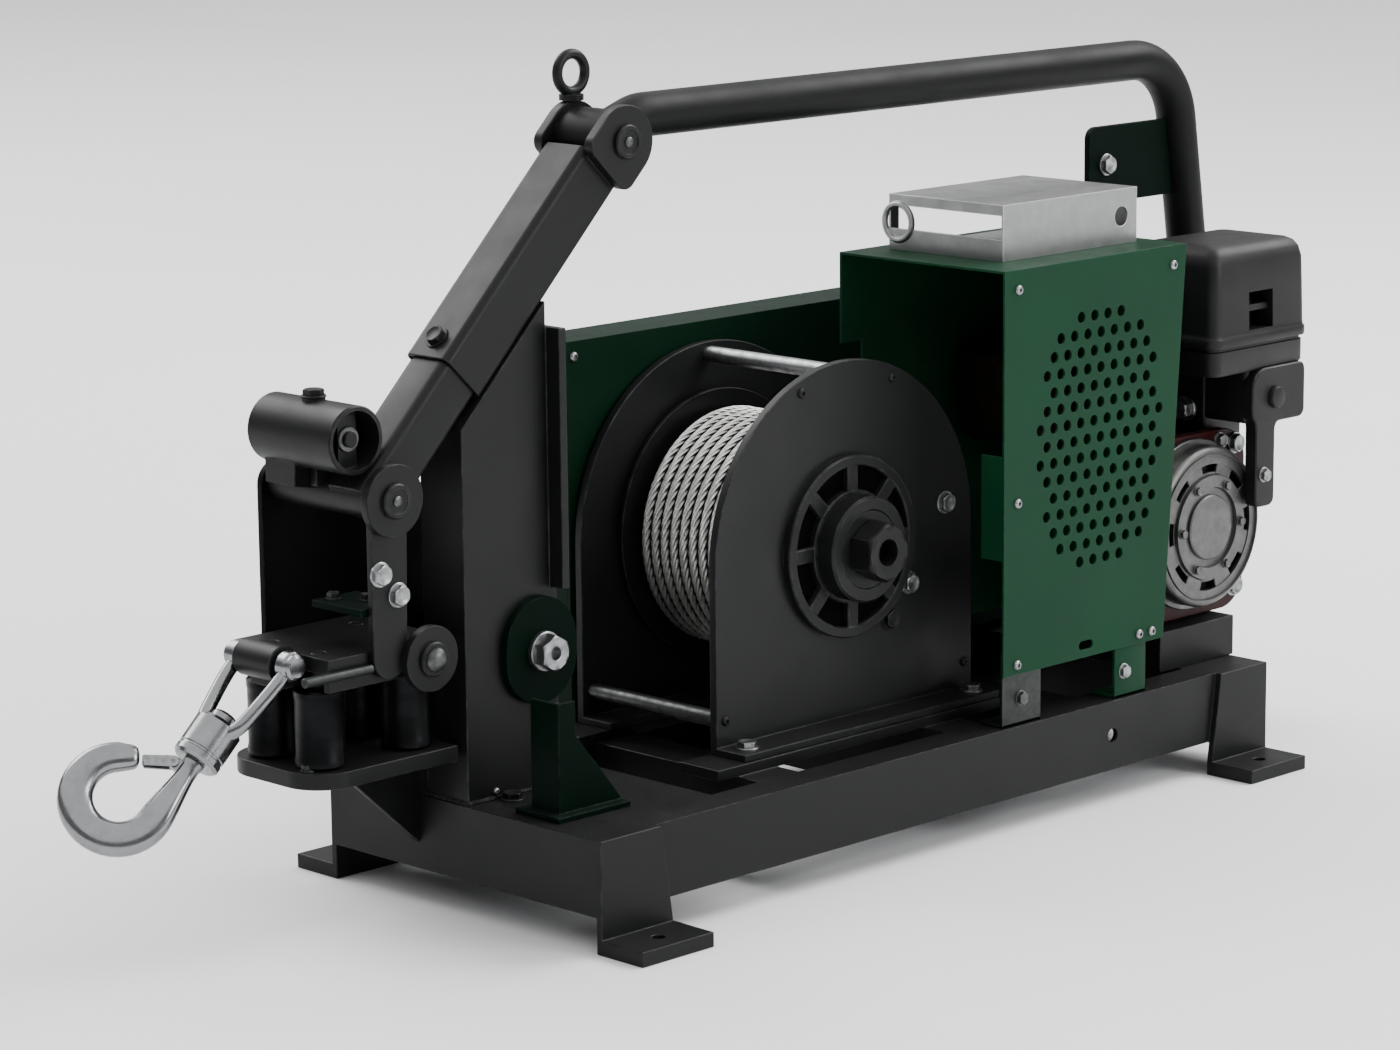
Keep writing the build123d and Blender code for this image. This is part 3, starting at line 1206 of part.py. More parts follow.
def shackle():
    """The shackle with the swivel barrel in its crown."""
    half, crown = SHACKLE_HALF_SPREAD, SHACKLE_CROWN_HALF
    corners = ((0, -half), (SHACKLE_SHOULDER, -half), (SHACKLE_CROWN, -crown))
    corners += tuple((x, -z) for x, z in reversed(corners))
    points = [shackle_frame.from_local_coords((x, 0, z)) for x, z in corners]
    path = FilletPolyline(*points, radius=SHACKLE_BEND)
    body = sweep(Plane(origin=path @ 0, z_dir=path % 0) * Circle(SHACKLE_WIRE_RADIUS), path=path)
    eye_half = SHACKLE_EYE_WIDTH / 2
    for side in (-half, half):
        body += cross_rod(shackle_frame, 0, 0, SHACKLE_EYE_RADIUS, side - eye_half, side + eye_half)
    swivel_end = SWIVEL_START + SWIVEL_LENGTH
    body += hook_rod(SWIVEL_RADIUS, SWIVEL_START, swivel_end)
    body -= hook_rod(SHANK_RADIUS + RUNNING_CLEARANCE, SWIVEL_START, swivel_end)
    reach = half + eye_half
    return body - cross_rod(shackle_frame, 0, 0, SHACKLE_PIN_RADIUS, -reach, reach)


def shackle_pin():
    """The pin through the shackle's eyes and the nose boss."""
    reach = SHACKLE_HALF_SPREAD + SHACKLE_EYE_WIDTH / 2
    body = cross_rod(shackle_frame, 0, 0, SHACKLE_PIN_RADIUS, -reach, reach)
    for start in (-reach - PIN_BUTTON, reach):
        body += cross_rod(shackle_frame, 0, 0, PIN_BUTTON_RADIUS, start, start + PIN_BUTTON)
    return body


def on_bowl(angle):
    """A point on the centre line of the hook's bowl; the shank runs into it at -90 degrees."""
    turn = math.radians(angle)
    x = HOOK_BOWL_CENTRE + HOOK_BOWL_RADIUS * math.cos(turn)
    return Vector(x, HOOK_BOWL_RADIUS + HOOK_BOWL_RADIUS * math.sin(turn), 0)


def hook_heading(angle):
    """The direction of the bowl's centre line at an angle."""
    turn = math.radians(angle)
    return Vector(-math.sin(turn), math.cos(turn), 0)


def hook_section(spot, heading, half_width, half_depth):
    """An oval section of the hook, wide in the plane of the hook."""
    side = Vector(-heading.Y, heading.X, 0)
    return Plane(origin=spot, x_dir=side, z_dir=heading) * Ellipse(half_width, half_depth)


def hook():
    """The hook with its shank, shank head and latch lug."""
    swivel_end = SWIVEL_START + SWIVEL_LENGTH + SWIVEL_END_GAP
    full = (HOOK_HALF_WIDTH, HOOK_HALF_DEPTH)
    entry, last = on_bowl(-90), on_bowl(HOOK_TIP_ANGLE)
    tip_heading = hook_heading(HOOK_TIP_ANGLE)
    tip = last + tip_heading * HOOK_TIP_LENGTH
    along = Vector(1, 0, 0)
    neck_start = hook_section(Vector(swivel_end, 0, 0), along, HOOK_NECK_RADIUS, HOOK_NECK_RADIUS)
    body = loft([neck_start, hook_section(entry, along, *full)])
    body += sweep(hook_section(entry, along, *full), path=ThreePointArc(entry, on_bowl(0), last))
    tip_end = hook_section(tip, tip_heading, HOOK_TIP_HALF_WIDTH, HOOK_TIP_HALF_DEPTH)
    body += loft([hook_section(last, tip_heading, *full), tip_end])
    body = hook_frame * body
    head_end = SWIVEL_START - SWIVEL_END_GAP
    body += hook_rod(SHANK_RADIUS, head_end, swivel_end)
    body += hook_rod(SHANK_HEAD_RADIUS, head_end - SHANK_HEAD_LENGTH, head_end)
    lug = cross_rod(hook_frame, *LATCH_PIVOT, LATCH_LUG_RADIUS, -LATCH_LUG_HALF, LATCH_LUG_HALF)
    stem_x0, stem_x1 = LATCH_PIVOT[0] - LATCH_LUG_RADIUS, LATCH_PIVOT[0] + LATCH_LUG_RADIUS
    lug += hook_frame * block(stem_x0, stem_x1, 0, LATCH_PIVOT[1], -LATCH_LUG_HALF, LATCH_LUG_HALF)
    bore = LATCH_PIN_RADIUS + RUNNING_CLEARANCE
    return body + lug - cross_rod(hook_frame, *LATCH_PIVOT, bore, -LATCH_LUG_HALF, LATCH_LUG_HALF)


def hook_latch():
    """The sprung latch across the hook's throat, square to the end of the hook's tip."""
    cheek = LATCH_LUG_HALF + LATCH_SIDE_GAP
    outer = cheek + LATCH_SHEET
    heading = hook_heading(HOOK_TIP_ANGLE)
    tip = on_bowl(HOOK_TIP_ANGLE) + heading * HOOK_TIP_LENGTH
    length = (Vector(*LATCH_PIVOT, 0) - tip).dot(heading) - LATCH_TIP_GAP
    aim = math.degrees(math.atan2(-heading.Y, -heading.X))
    start = LATCH_LUG_RADIUS + LATCH_SIDE_GAP
    half = LATCH_PIN_RADIUS + LATCH_SHEET
    body = block(start, length, -half, half, -outer, outer)
    for side in (-1, 1):
        z0, z1 = sorted((side * cheek, side * outer))
        body += block(0, start, -half, half, z0, z1)
        body += Pos(0, 0, (z0 + z1) / 2) * Cylinder(half, z1 - z0)
    body += Cylinder(LATCH_PIN_RADIUS, 2 * outer)
    return hook_frame * (Pos(*LATCH_PIVOT, 0) * Rot(0, 0, aim) * body)


# Guard and tray
def guard_rear(z):
    """The rear edge of the guard at a height; it leans in towards its foot."""
    return GUARD_REAR_X - (GUARD_TOP_Z - z) * guard_slope


def guard_outline(front, inset, top):
    """The guard's side outline, with its rear edge set in."""
    low = (guard_rear(GUARD_BOTTOM_Z) - inset, GUARD_BOTTOM_Z)
    high = (guard_rear(top) - inset, top)
    return outline_of(((front, GUARD_BOTTOM_Z), low, high, (front, top)))


def guard_hood():
    """The hood: top, rear wall and far wall, open to the drum and below."""
    body = slab_y(guard_outline(GUARD_FRONT_X, 0, GUARD_TOP_Z), panel_near_face, GUARD_FAR_Y)
    inner_far = GUARD_FAR_Y - GUARD_SHEET
    inner = guard_outline(GUARD_FRONT_X, GUARD_SHEET, GUARD_TOP_Z - GUARD_SHEET)
    body -= slab_y(inner, panel_near_face, inner_far)
    body -= block(GUARD_FRONT_X, GUARD_NOTCH_X, inner_far, GUARD_FAR_Y, GUARD_BOTTOM_Z, GUARD_NOTCH_Z)
    hole = PIPE_RADIUS + PIPE_HOLE_MARGIN
    body -= rod_x(pipe_y, pipe_z, hole, MUFFLER_END_X, CYLINDER_START_X)
    strap = strap_centre - GUARD_STRAP_WIDTH / 2
    far = (inner_far, GUARD_FAR_Y)
    return body + block(strap, strap + GUARD_STRAP_WIDTH, *far, base_top, GUARD_BOTTOM_Z)


def vent_spots():
    """The centres of the panel's round holes: staggered rows inside an oval."""
    row_step = VENT_PITCH * math.sqrt(3) / 2
    rows = int(VENT_HALF_HEIGHT / row_step)
    columns = int(VENT_HALF_WIDTH / VENT_PITCH) + 1
    spots = []
    for row in range(-rows, rows + 1):
        for column in range(-columns, columns + 1):
            x = (column + 0.5 * (row % 2)) * VENT_PITCH
            z = row * row_step
            reach_x, reach_z = abs(x) / VENT_HALF_WIDTH, abs(z) / VENT_HALF_HEIGHT
            if reach_x**VENT_SQUARENESS + reach_z**VENT_SQUARENESS < 1:
                spots.append((VENT_CENTRE[0] + x, VENT_CENTRE[1] + z))
    return spots


def guard_panel():
    """The perforated near panel with its folded lip."""
    outline = guard_outline(GUARD_FRONT_X, 0, GUARD_TOP_Z)
    outline -= [Pos(*spot) * Circle(VENT_HOLE_RADIUS) for spot in vent_spots()]
    outline -= Pos(*SLOT_CENTRE) * SlotOverall(SLOT_LENGTH, SLOT_HEIGHT)
    body = slab_y(outline, GUARD_NEAR_Y, panel_near_face)
    lip_end = GUARD_FRONT_X + GUARD_SHEET
    lip_far = panel_near_face + GUARD_LIP_DEPTH
    lip_z = (GUARD_LIP_BOTTOM_Z, GUARD_LIP_TOP_Z)
    return body + block(GUARD_FRONT_X, lip_end, panel_near_face, lip_far, *lip_z)


def guard_bracket(start, end):
    """One angle bracket between the near rail and the guard panel."""
    near = panel_near_face
    sheet = GUARD_BRACKET_SHEET
    top = GUARD_BOTTOM_Z + GUARD_BRACKET_LAP
    body = block(start, end, near, near + sheet, base_top, top)
    return body + block(start, end, near, near + GUARD_BRACKET_FOOT, base_top, base_top + sheet)


def tool_tray():
    """The sheet metal tray on the hood, open to the far side, with its end window and ring."""
    sheet = TRAY_SHEET
    body = block(TRAY_START_X, TRAY_END_X, TRAY_NEAR_Y, TRAY_FAR_Y, GUARD_TOP_Z, tray_top)
    inner_z = (GUARD_TOP_Z + sheet, tray_top - sheet)
    body -= block(TRAY_START_X, TRAY_END_X - sheet, TRAY_NEAR_Y + sheet, TRAY_FAR_Y, *inner_z)
    end_sides = (TRAY_START_X, TRAY_START_X + sheet, TRAY_NEAR_Y, TRAY_FAR_Y)
    body += block(*end_sides, GUARD_TOP_Z, GUARD_TOP_Z + TRAY_END_RISE)
    body += block(*end_sides, tray_top - TRAY_END_RIM, tray_top)
    post_near = TRAY_FAR_Y - sheet
    body += block(TRAY_START_X, TRAY_START_X + TRAY_POST_WIDTH, post_near, TRAY_FAR_Y, *inner_z)
    middle = GUARD_TOP_Z + TRAY_HEIGHT / 2
    ring_y = TRAY_FAR_Y - TRAY_RING_INSET
    body += Pos(TRAY_START_X, ring_y, middle) * Rot(0, 90, 0) * Torus(TRAY_RING_RADIUS, TRAY_RING_WIRE)
    hole_x = TRAY_END_X - TRAY_HOLE_INSET
    return body - rod_y(hole_x, middle, TRAY_HOLE_RADIUS, TRAY_NEAR_Y, TRAY_NEAR_Y + sheet)


# Engine
def engine_base():
    """The block under the engine."""
    return block(BASE_START_X, BASE_END_X, BASE_NEAR_Y, BASE_FAR_Y, base_top, engine_base_top)


def engine_block():
    """The crankcase with the finned cylinder on it."""
    body = block(CASE_START_X, CASE_END_X, CASE_NEAR_Y, CASE_FAR_Y, engine_base_top, CASE_TOP_Z)
    body = fillet(body.edges().filter_by(Axis.Y).group_by(Axis.Z)[-1], CASE_CORNER)
    sides = (CYLINDER_START_X, CYLINDER_END_X, CYLINDER_NEAR_Y, CYLINDER_FAR_Y)
    barrel = block(*sides, CASE_TOP_Z - CASE_CORNER, CYLINDER_TOP_Z)
    for index in range(FIN_COUNT):
        z = CASE_TOP_Z + (index + 0.5) * FIN_PITCH
        far = block(sides[0], sides[1], sides[3] - FIN_DEPTH, sides[3], z, z + FIN_GROOVE)
        barrel -= far
    body += barrel
    bore = CRANK_RADIUS + RUNNING_CLEARANCE
    return body - rod_y(CRANK_X, CRANK_Z, bore, CASE_NEAR_Y, CASE_FAR_Y)


def fan_shroud():
    """The red shroud behind the fan cover."""
    body = block(SHROUD_START_X, SHROUD_END_X, shroud_near_y, CASE_NEAR_Y, SHROUD_BOTTOM_Z, SHROUD_TOP_Z)
    body = fillet(body.edges().filter_by(Axis.Y), SHROUD_CORNER)
    return body - rod_y(CRANK_X, CRANK_Z, FAN_COVER_RADIUS - FAN_COVER_WALL, shroud_near_y, CASE_NEAR_Y)


def fan_cover():
    """The round cover over the flywheel, slotted for air."""
    inner = FAN_COVER_RADIUS - FAN_COVER_WALL
    body = rod_y(CRANK_X, CRANK_Z, FAN_COVER_RADIUS, fan_near_y, shroud_near_y)
    body += rod_y(CRANK_X, CRANK_Z, FAN_COVER_RIM, shroud_near_y - FAN_RIM_DEPTH, shroud_near_y)
    body -= rod_y(CRANK_X, CRANK_Z, inner, fan_near_y + FAN_COVER_WALL, shroud_near_y)
    slots = Sketch()
    middle = (FAN_SLOT_START + FAN_SLOT_END) / 2
    for index in range(FAN_SLOTS):
        turn = Rot(0, 0, index * 360 / FAN_SLOTS)
        slots += turn * Pos(middle, 0) * SlotOverall(FAN_SLOT_END - FAN_SLOT_START, FAN_SLOT_WIDTH)
    return body - slab_y(Pos(CRANK_X, CRANK_Z) * slots, fan_near_y, fan_near_y + FAN_COVER_WALL)


def crankshaft():
    """The crankshaft with its flywheel."""
    body = rod_y(CRANK_X, CRANK_Z, CRANK_RADIUS, CRANK_NEAR_Y, pulley_far)
    return body + rod_y(CRANK_X, CRANK_Z, FLYWHEEL_RADIUS, CRANK_NEAR_Y, CRANK_NEAR_Y + FLYWHEEL_WIDTH)


def air_cleaner():
    """The air cleaner box with the seam of its lid and a recess in its face."""
    near, far = CLEANER_NEAR_Y, CLEANER_FAR_Y
    body = block(CLEANER_START_X, CLEANER_END_X, near, far, CLEANER_BOTTOM_Z, CLEANER_TOP_Z)
    body = fillet(upright_edges(body), CLEANER_CORNER)
    seam = CLEANER_SEAM_DEPTH
    band = block(CLEANER_START_X, CLEANER_END_X, near, far, CLEANER_SEAM_Z - seam, CLEANER_SEAM_Z)
    inner_x = (CLEANER_START_X + seam, CLEANER_END_X - seam)
    band -= block(*inner_x, near + seam, far - seam, CLEANER_SEAM_Z - seam, CLEANER_SEAM_Z)
    half = CLEANER_WINDOW_SIZE / 2
    x, z = CLEANER_WINDOW
    window = block(x - half, x + half, near, near + CLEANER_WINDOW_DEPTH, z - half, z + half)
    return body - band - window


def intake_duct():
    """The intake under the air cleaner with its front leg and the carburettor."""
    near = CLEANER_NEAR_Y
    body = block(DUCT_START_X, DUCT_END_X, near, DUCT_FAR_Y, DUCT_BOTTOM_Z, CLEANER_BOTTOM_Z)
    leg_far = near + DUCT_LEG_DEPTH
    body += block(DUCT_START_X, DUCT_LEG_END_X, near, leg_far, DUCT_LEG_BOTTOM_Z, DUCT_BOTTOM_Z)
    body += block(CYLINDER_END_X, CARB_END_X, DUCT_FAR_Y, CARB_FAR_Y, DUCT_BOTTOM_Z, CLEANER_BOTTOM_Z)
    bore = LEVER_PIN_RADIUS + RUNNING_CLEARANCE
    return body - rod_x(*LEVER_PIVOT, bore, CARB_END_X - LEVER_PIN_LENGTH - LEVER_GAP, CARB_END_X)


def throttle_lever():
    """The lever on the carburettor."""
    x0 = CARB_END_X + LEVER_GAP
    x1 = x0 + LEVER_SHEET
    y, z = LEVER_PIVOT
    body = rod_x(y, z, LEVER_BOSS_RADIUS, x0, x1)
    half = LEVER_PIN_RADIUS
    body += block(x0, x1, y - half, y + half, z - LEVER_LENGTH, z)
    return body + rod_x(y, z, LEVER_PIN_RADIUS, CARB_END_X - LEVER_PIN_LENGTH, x0)


def fuel_tank():
    """The tank on the cylinder with its filler neck."""
    body = block(TANK_START_X, TANK_END_X, TANK_NEAR_Y, TANK_FAR_Y, CYLINDER_TOP_Z, tank_top)
    body = fillet(upright_edges(body), TANK_CORNER)
    return body + rod_z(CAP_X, CAP_Y, NECK_RADIUS, tank_top, tank_top + NECK_HEIGHT)


def fuel_cap():
    """The turning cap over the filler neck."""
    bottom, top = tank_top + CAP_LIFT, tank_top + CAP_LIFT + CAP_HEIGHT
    body = rod_z(CAP_X, CAP_Y, CAP_RADIUS, bottom, top)
    inside = tank_top + NECK_HEIGHT + CAP_LIFT
    return body - rod_z(CAP_X, CAP_Y, NECK_RADIUS + RUNNING_CLEARANCE, bottom, inside)


def muffler():
    """The muffler inside the guard with its pipe to the cylinder."""
    sides = (MUFFLER_START_X, MUFFLER_END_X, MUFFLER_NEAR_Y, MUFFLER_FAR_Y)
    body = block(*sides, MUFFLER_BOTTOM_Z, MUFFLER_TOP_Z)
    body = fillet(body.edges().filter_by(Axis.Y), MUFFLER_CORNER)
    return body + rod_x(pipe_y, pipe_z, PIPE_RADIUS, MUFFLER_END_X - MUFFLER_CORNER, CYLINDER_START_X)


# Fasteners
def hex_bolts():
    """All the hexagon heads of one size."""
    flat = hexagon(HEX_FLATS)
    foot_top = bearer_top + STAND_FOOT_THICKNESS
    foot_y = near_plate_out - STAND_FOOT_WIDTH / 2
    bolt_out = STAND_RADIUS - STAND_BOLT_INSET
    heads = []
    for x in (DRUM_X - bolt_out, DRUM_X + bolt_out):
        heads.append(slab_z(Pos(x, foot_y) * flat, foot_top, foot_top + HEX_HEIGHT))
    deck_spot = (COLUMN_FRONT_X + DECK_BOLT[0], MAST_NEAR_Y - DECK_BOLT[1])
    heads.append(slab_z(Pos(*deck_spot) * flat, base_top, base_top + HEX_HEIGHT))
    shell_x, shell_z = shell_spot()
    pad_top = shell_z + SHELL_RADIUS + SHELL_PAD_RISE
    pad_y = (SHELL_NEAR_Y + shell_far_y) / 2
    heads.append(slab_z(Pos(shell_x, pad_y) * flat, pad_top, pad_top + HEX_HEIGHT))
    boom_x, boom_z = along_boom(BOOM_END - BOOM_BOLT_INSET, -BOOM_DEPTH / 2)
    boom_seat = Plane(
        origin=(boom_x, mast_centre_y, boom_z),
        x_dir=(0, 1, 0),
        z_dir=(-boom_under[0], 0, -boom_under[1]),
    )
    heads.append(extrude(boom_seat * flat, amount=HEX_HEIGHT))
    drum_axis, crank = (DRUM_X, DRUM_Z), (CRANK_X, CRANK_Z)
    spots = [(around(drum_axis, *place), near_plate_out) for place in PLATE_BOLTS]
    spots += [(around(crank, FAN_BOLT_RADIUS, angle), shroud_near_y) for angle in FAN_BOLT_ANGLES]
    for down, aside in LINK_BOLTS:
        x = LOW_PIVOT[0] + down * link_dir[0] - aside * link_dir[1]
        z = LOW_PIVOT[1] + down * link_dir[1] + aside * link_dir[0]
        spots.append(((x, z), link_near_y))
    bracket_z = (BRACKET_BOTTOM_Z + BRACKET_TOP_Z) / 2
    spots.append(((BRACKET_START_X + BRACKET_BOLT_INSET, bracket_z), mast_centre_y - BRACKET_SHEET / 2))
    heads += [slab_y(Pos(*spot) * flat, face - HEX_HEIGHT, face) for spot, face in spots]
    return heads


def round_screws():
    """The round screw heads on the guard panel, the near drum plate and the green panel."""
    low, high = GUARD_BOTTOM_Z + SCREW_INSET / 2, GUARD_TOP_Z - SCREW_INSET
    middle = (low + high) / 2 - SCREW_MIDDLE_DROP
    front = GUARD_FRONT_X + SCREW_INSET
    spots = [(front, low), (front, middle), (front, high), (guard_rear(high) - SCREW_INSET, high)]
    for inset in (SCREW_INSET, 2 * SCREW_INSET):
        spots.append((guard_rear(low) - inset, low))
    faces = [(spot, GUARD_NEAR_Y) for spot in spots]
    plate_spots = [stand_spot(angle) for angle in PLATE_SCREW_ANGLES] + low_rod_spots()
    faces += [(spot, near_plate_out) for spot in plate_spots]
    panel_spot = (PANEL_START_X + PANEL_SCREW_INSET[0], PANEL_TOP_Z - PANEL_SCREW_INSET[1])
    faces.append((panel_spot, panel_near))
    return [rod_y(x, z, SCREW_RADIUS, face - SCREW_HEIGHT, face) for (x, z), face in faces]


# Writing the parts
def write(node, shape):
    """Writes one node; a list of solids is written as a group."""
    if isinstance(shape, list):
        shape = Compound(children=shape)
    export_step(shape, f"parts/{node}.step")


os.makedirs("parts", exist_ok=True)
rope_line = rope_path()
nodes = {
    "base_frame": base_frame(),
    "drum_plate_near": drum_plate(near_plate_out, near_plate_in, near_plate_out - STAND_FOOT_WIDTH),
    "drum_plate_far": drum_plate_far(),
    "tie_rods": tie_rods(),
    "drum_bearing_near": drum_bearing_near(),
    "drum": drum(rope_line),
    "drum_shaft": drum_shaft(),
    "rope_core": rope_core(),
    "rope_winding": rope_winding(rope_line),
    "bull_gear": bull_gear(),
    "pinion_shaft": pinion_shaft(),
    "belt_pulley": pulley(jack_x, jack_z, PULLEY_RADIUS, JACK_SHAFT_RADIUS),
    "drive_belt": drive_belt(),
    "gear_panel": gear_panel(),
    "gear_cover": gear_cover(),
    "mast_column": mast_column(),
    "boom": boom(),
    "boom_arm": boom_arm(),
    "roll_bar": roll_bar(),
    "lifting_eye": lifting_eye(),
    "bar_bracket": bar_bracket(),
    "cross_tube": cross_tube(),
    "pivot_discs": pivot_discs(),
    "link_arm": link_arm(),
    "far_cheek": far_cheek(),
    "tie_plate": tie_plate(),
    "guide_shell": guide_shell(),
    "guide_roller": guide_roller(),
    "nose_bottom_plate": nose_bottom_plate(),
    "nose_top_plate": nose_top_plate(),
    "pivot_pins": pivot_pins(),
    "mast_bracket": mast_bracket(),
    "rope_roller": rope_roller(),
    "corner_leg": corner_leg(),
    "shackle": shackle(),
    "shackle_pin": shackle_pin(),
    "hook": hook(),
    "hook_latch": hook_latch(),
    "guard_hood": guard_hood(),
    "guard_panel": guard_panel(),
    "guard_brackets": [guard_bracket(*ends) for ends in GUARD_BRACKET_SPOTS],
    "tool_tray": tool_tray(),
    "engine_base": engine_base(),
    "engine_block": engine_block(),
    "fan_shroud": fan_shroud(),
    "fan_cover": fan_cover(),
    "crankshaft": crankshaft(),
    "engine_pulley": pulley(CRANK_X, CRANK_Z, ENGINE_PULLEY_RADIUS, CRANK_RADIUS),
    "air_cleaner": air_cleaner(),
    "intake_duct": intake_duct(),
    "throttle_lever": throttle_lever(),
    "fuel_tank": fuel_tank(),
    "fuel_cap": fuel_cap(),
    "muffler": muffler(),
    "hex_bolts": hex_bolts(),
    "round_screws": round_screws(),
}
names = ("front_near_roller", "front_far_roller", "rear_near_roller", "rear_far_roller")
for name, spot in zip(names, roller_spots()):
    nodes[name] = upright_roller(*spot)
for node, shape in nodes.items():
    write(node, shape)
print("least gap between rope turns", round(rope_gap(rope_line), 3), "mm")
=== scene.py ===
import json
from math import cos, dist, hypot, pi, radians, sin, tau

import bmesh
import bpy
from mathutils import Matrix, Quaternion, Vector


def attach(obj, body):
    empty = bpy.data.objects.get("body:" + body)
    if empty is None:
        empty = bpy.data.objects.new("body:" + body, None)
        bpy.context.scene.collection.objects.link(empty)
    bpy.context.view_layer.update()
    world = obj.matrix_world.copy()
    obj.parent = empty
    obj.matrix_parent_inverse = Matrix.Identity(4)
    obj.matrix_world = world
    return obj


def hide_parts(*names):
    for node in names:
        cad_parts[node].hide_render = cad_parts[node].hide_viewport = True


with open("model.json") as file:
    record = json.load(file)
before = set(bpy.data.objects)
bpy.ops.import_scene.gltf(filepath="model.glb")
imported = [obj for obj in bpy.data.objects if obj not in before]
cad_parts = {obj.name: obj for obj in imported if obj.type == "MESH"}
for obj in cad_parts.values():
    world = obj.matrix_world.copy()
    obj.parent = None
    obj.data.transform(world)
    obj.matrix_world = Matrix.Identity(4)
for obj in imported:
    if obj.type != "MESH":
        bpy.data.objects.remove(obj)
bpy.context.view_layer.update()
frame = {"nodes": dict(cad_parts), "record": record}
nodes = frame["nodes"]
scene = bpy.context.scene

# Lengths are in millimetres in the frame of the CAD model: X runs from the hook to the
# engine, Y from the open side to the gear side, Z up. Finished pieces are scaled to metres.
MM = 0.001

# Camera of the photograph, in metres and degrees
CAMERA_AZIMUTH = -44.8
CAMERA_ELEVATION = 11.32
CAMERA_ROLL = -0.57
CAMERA_DISTANCE = 4.604
CAMERA_TARGET = Vector((-0.1851, 0.0003, 0.3587))
FOCAL_PIXELS = 4303.9
IMAGE_WIDTH = 1400
SENSOR_WIDTH = 36.0

# How round shapes are cut into faces
TURN_STEPS = 56
HEX_STEPS = 48
WIRE_SIDES = 18
SHARP_ANGLE = radians(38)

# Drum, rope and stand
DRUM_X = -45
DRUM_Z = 327
DRUM_SPOT = (DRUM_X, DRUM_Z)
ROPE_DIAMETER = 14
ROPE_PITCH = 14.47
ROPE_TURNS = 11
ROPE_CENTRE_RADIUS = 125
ROPE_LAP = hypot(tau * ROPE_CENTRE_RADIUS, ROPE_PITCH)
ROPE_START_Y = -56.2
ROPE_STRANDS = 8
ROPE_LAY = 84
ROPE_HEART = 5.4
WIRES_PER_STRAND = 6
WIRE_GROOVE = 0.2
ROPE_STEP = 2.6
NEAR_PLATE_Y = -84
PLATE_THICKNESS = 10
FAR_PLATE_IN_Y = 120.75
PANEL_NEAR_Y = 135.75
STAND_FOOT_TOP_Z = 138
TIE_ROD_RADIUS = 9
TIE_ROD_REACH = 189
TIE_ROD_ANGLE = 92
PLATE_SCREW_ANGLES = (112, 68)
TIE_ROD_LOW_Z = 166
CARRIER_RIBS = 8
SHAFT_RADIUS = 25
SHAFT_END_Y = 164.75
SHAFT_NUT_NEAR_Y = -146
SHAFT_NUT_FLATS = 58
SHAFT_NUT_LENGTH = 27.5
SHAFT_BORE_RADIUS = 15

# Mast and nose
BASE_TOP_Z = 118
TOP_PIVOT = (-306, 781)
LOW_PIVOT = (-632, 452)
MAST_CENTRE_Y = 24
MAST_NEAR_Y = -8
SHELL_SPOT = (-660.99, 513.81)
SHELL_MIDDLE_Y = 65
SHELL_NEAR_Y = 1
SHELL_LENGTH = 128
SHELL_RADIUS = 35
SHELL_WALL = 5
SHELL_PAD_Z = 550.81
SHELL_PLATE_Y = (74, 120)
SADDLE_SPOTS_Y = (62, 112)
BOOM_SEAT = (-531.8, 599.3)
BOOM_NORMAL = (-0.7103, 0, 0.7038)
ARM_NEAR_Y = -4
ARM_FAR_Y = 52
ARM_HALF_DEPTH = 28.5
ARM_CORNER = 11
ARM_START = 264
LINK_NEAR_Y = -12
DISC_NEAR_Y = -22
EAR_NEAR_Y = -20
CROSS_SHAFT = (-587, 284)
ROLLER_SPOTS = {
    "front_near": (-692, 32),
    "front_far": (-692, 106),
    "rear_near": (-578, 32),
    "rear_far": (-578, 106),
}
ROLLER_RADIUS = 26
ROLLER_BOTTOM_Z = 184.5
ROLLER_TOP_Z = 264.5
ROLLER_BORE = 8.05
ROPE_ROLLER = (-434, 266)
AXLE_NUT_NEAR_Y = -40
COLUMN_SCREW = (-493, 126)
COLUMN_X = (-531, -413)
AXLE_NUT_FLATS = 34
AXLE_NUT_LENGTH = 15
AXLE_BORE_RADIUS = 7
ROPE_AXLE_NEAR_Y = -26
PIVOT_RADIUS = 12
LOW_PIN_RADIUS = 10
PIN_HEAD_RADIUS = 18
TOP_PIN_FAR_Y = 70
SHORT_PIN_FAR_Y = 30
CHEEK_FAR_Y = 158
AXLE_RADIUS = 8
ROLLER_PIN_Z = (166, 300)
SIDE_ROD_X = (-745, -657)
SIDE_ROD_Y = -9
SIDE_ROD_RADIUS = 5
BAR_EDGE = 1.2

# Hook set, along its own axis from the shackle pin
HOOK_PIN = Vector((-730, 69, 293))
HOOK_DROOP = 43.5
HOOK_TURN = 45
SHACKLE_SPREAD = 39
SHACKLE_WIRE = 7.5
SHACKLE_EYE_RADIUS = 15
SHACKLE_EYE_HALF = 7.5
SHACKLE_SHOULDER = 30
SHACKLE_CROWN = 91
SHACKLE_CROWN_HALF = 27
SHACKLE_BEND = 22
SHACKLE_PIN_RADIUS = 9
SWIVEL_START = 80
SWIVEL_END = 128
SWIVEL_RADIUS = 25
SHANK_RADIUS = 9
SHANK_HEAD_START = 69.5
HOOK_BOWL_CENTRE = 199
HOOK_BOWL_RADIUS = 42
HOOK_TIP_ANGLE = 148
LATCH_PIVOT = (139, 17)
LATCH_LENGTH = 30.5

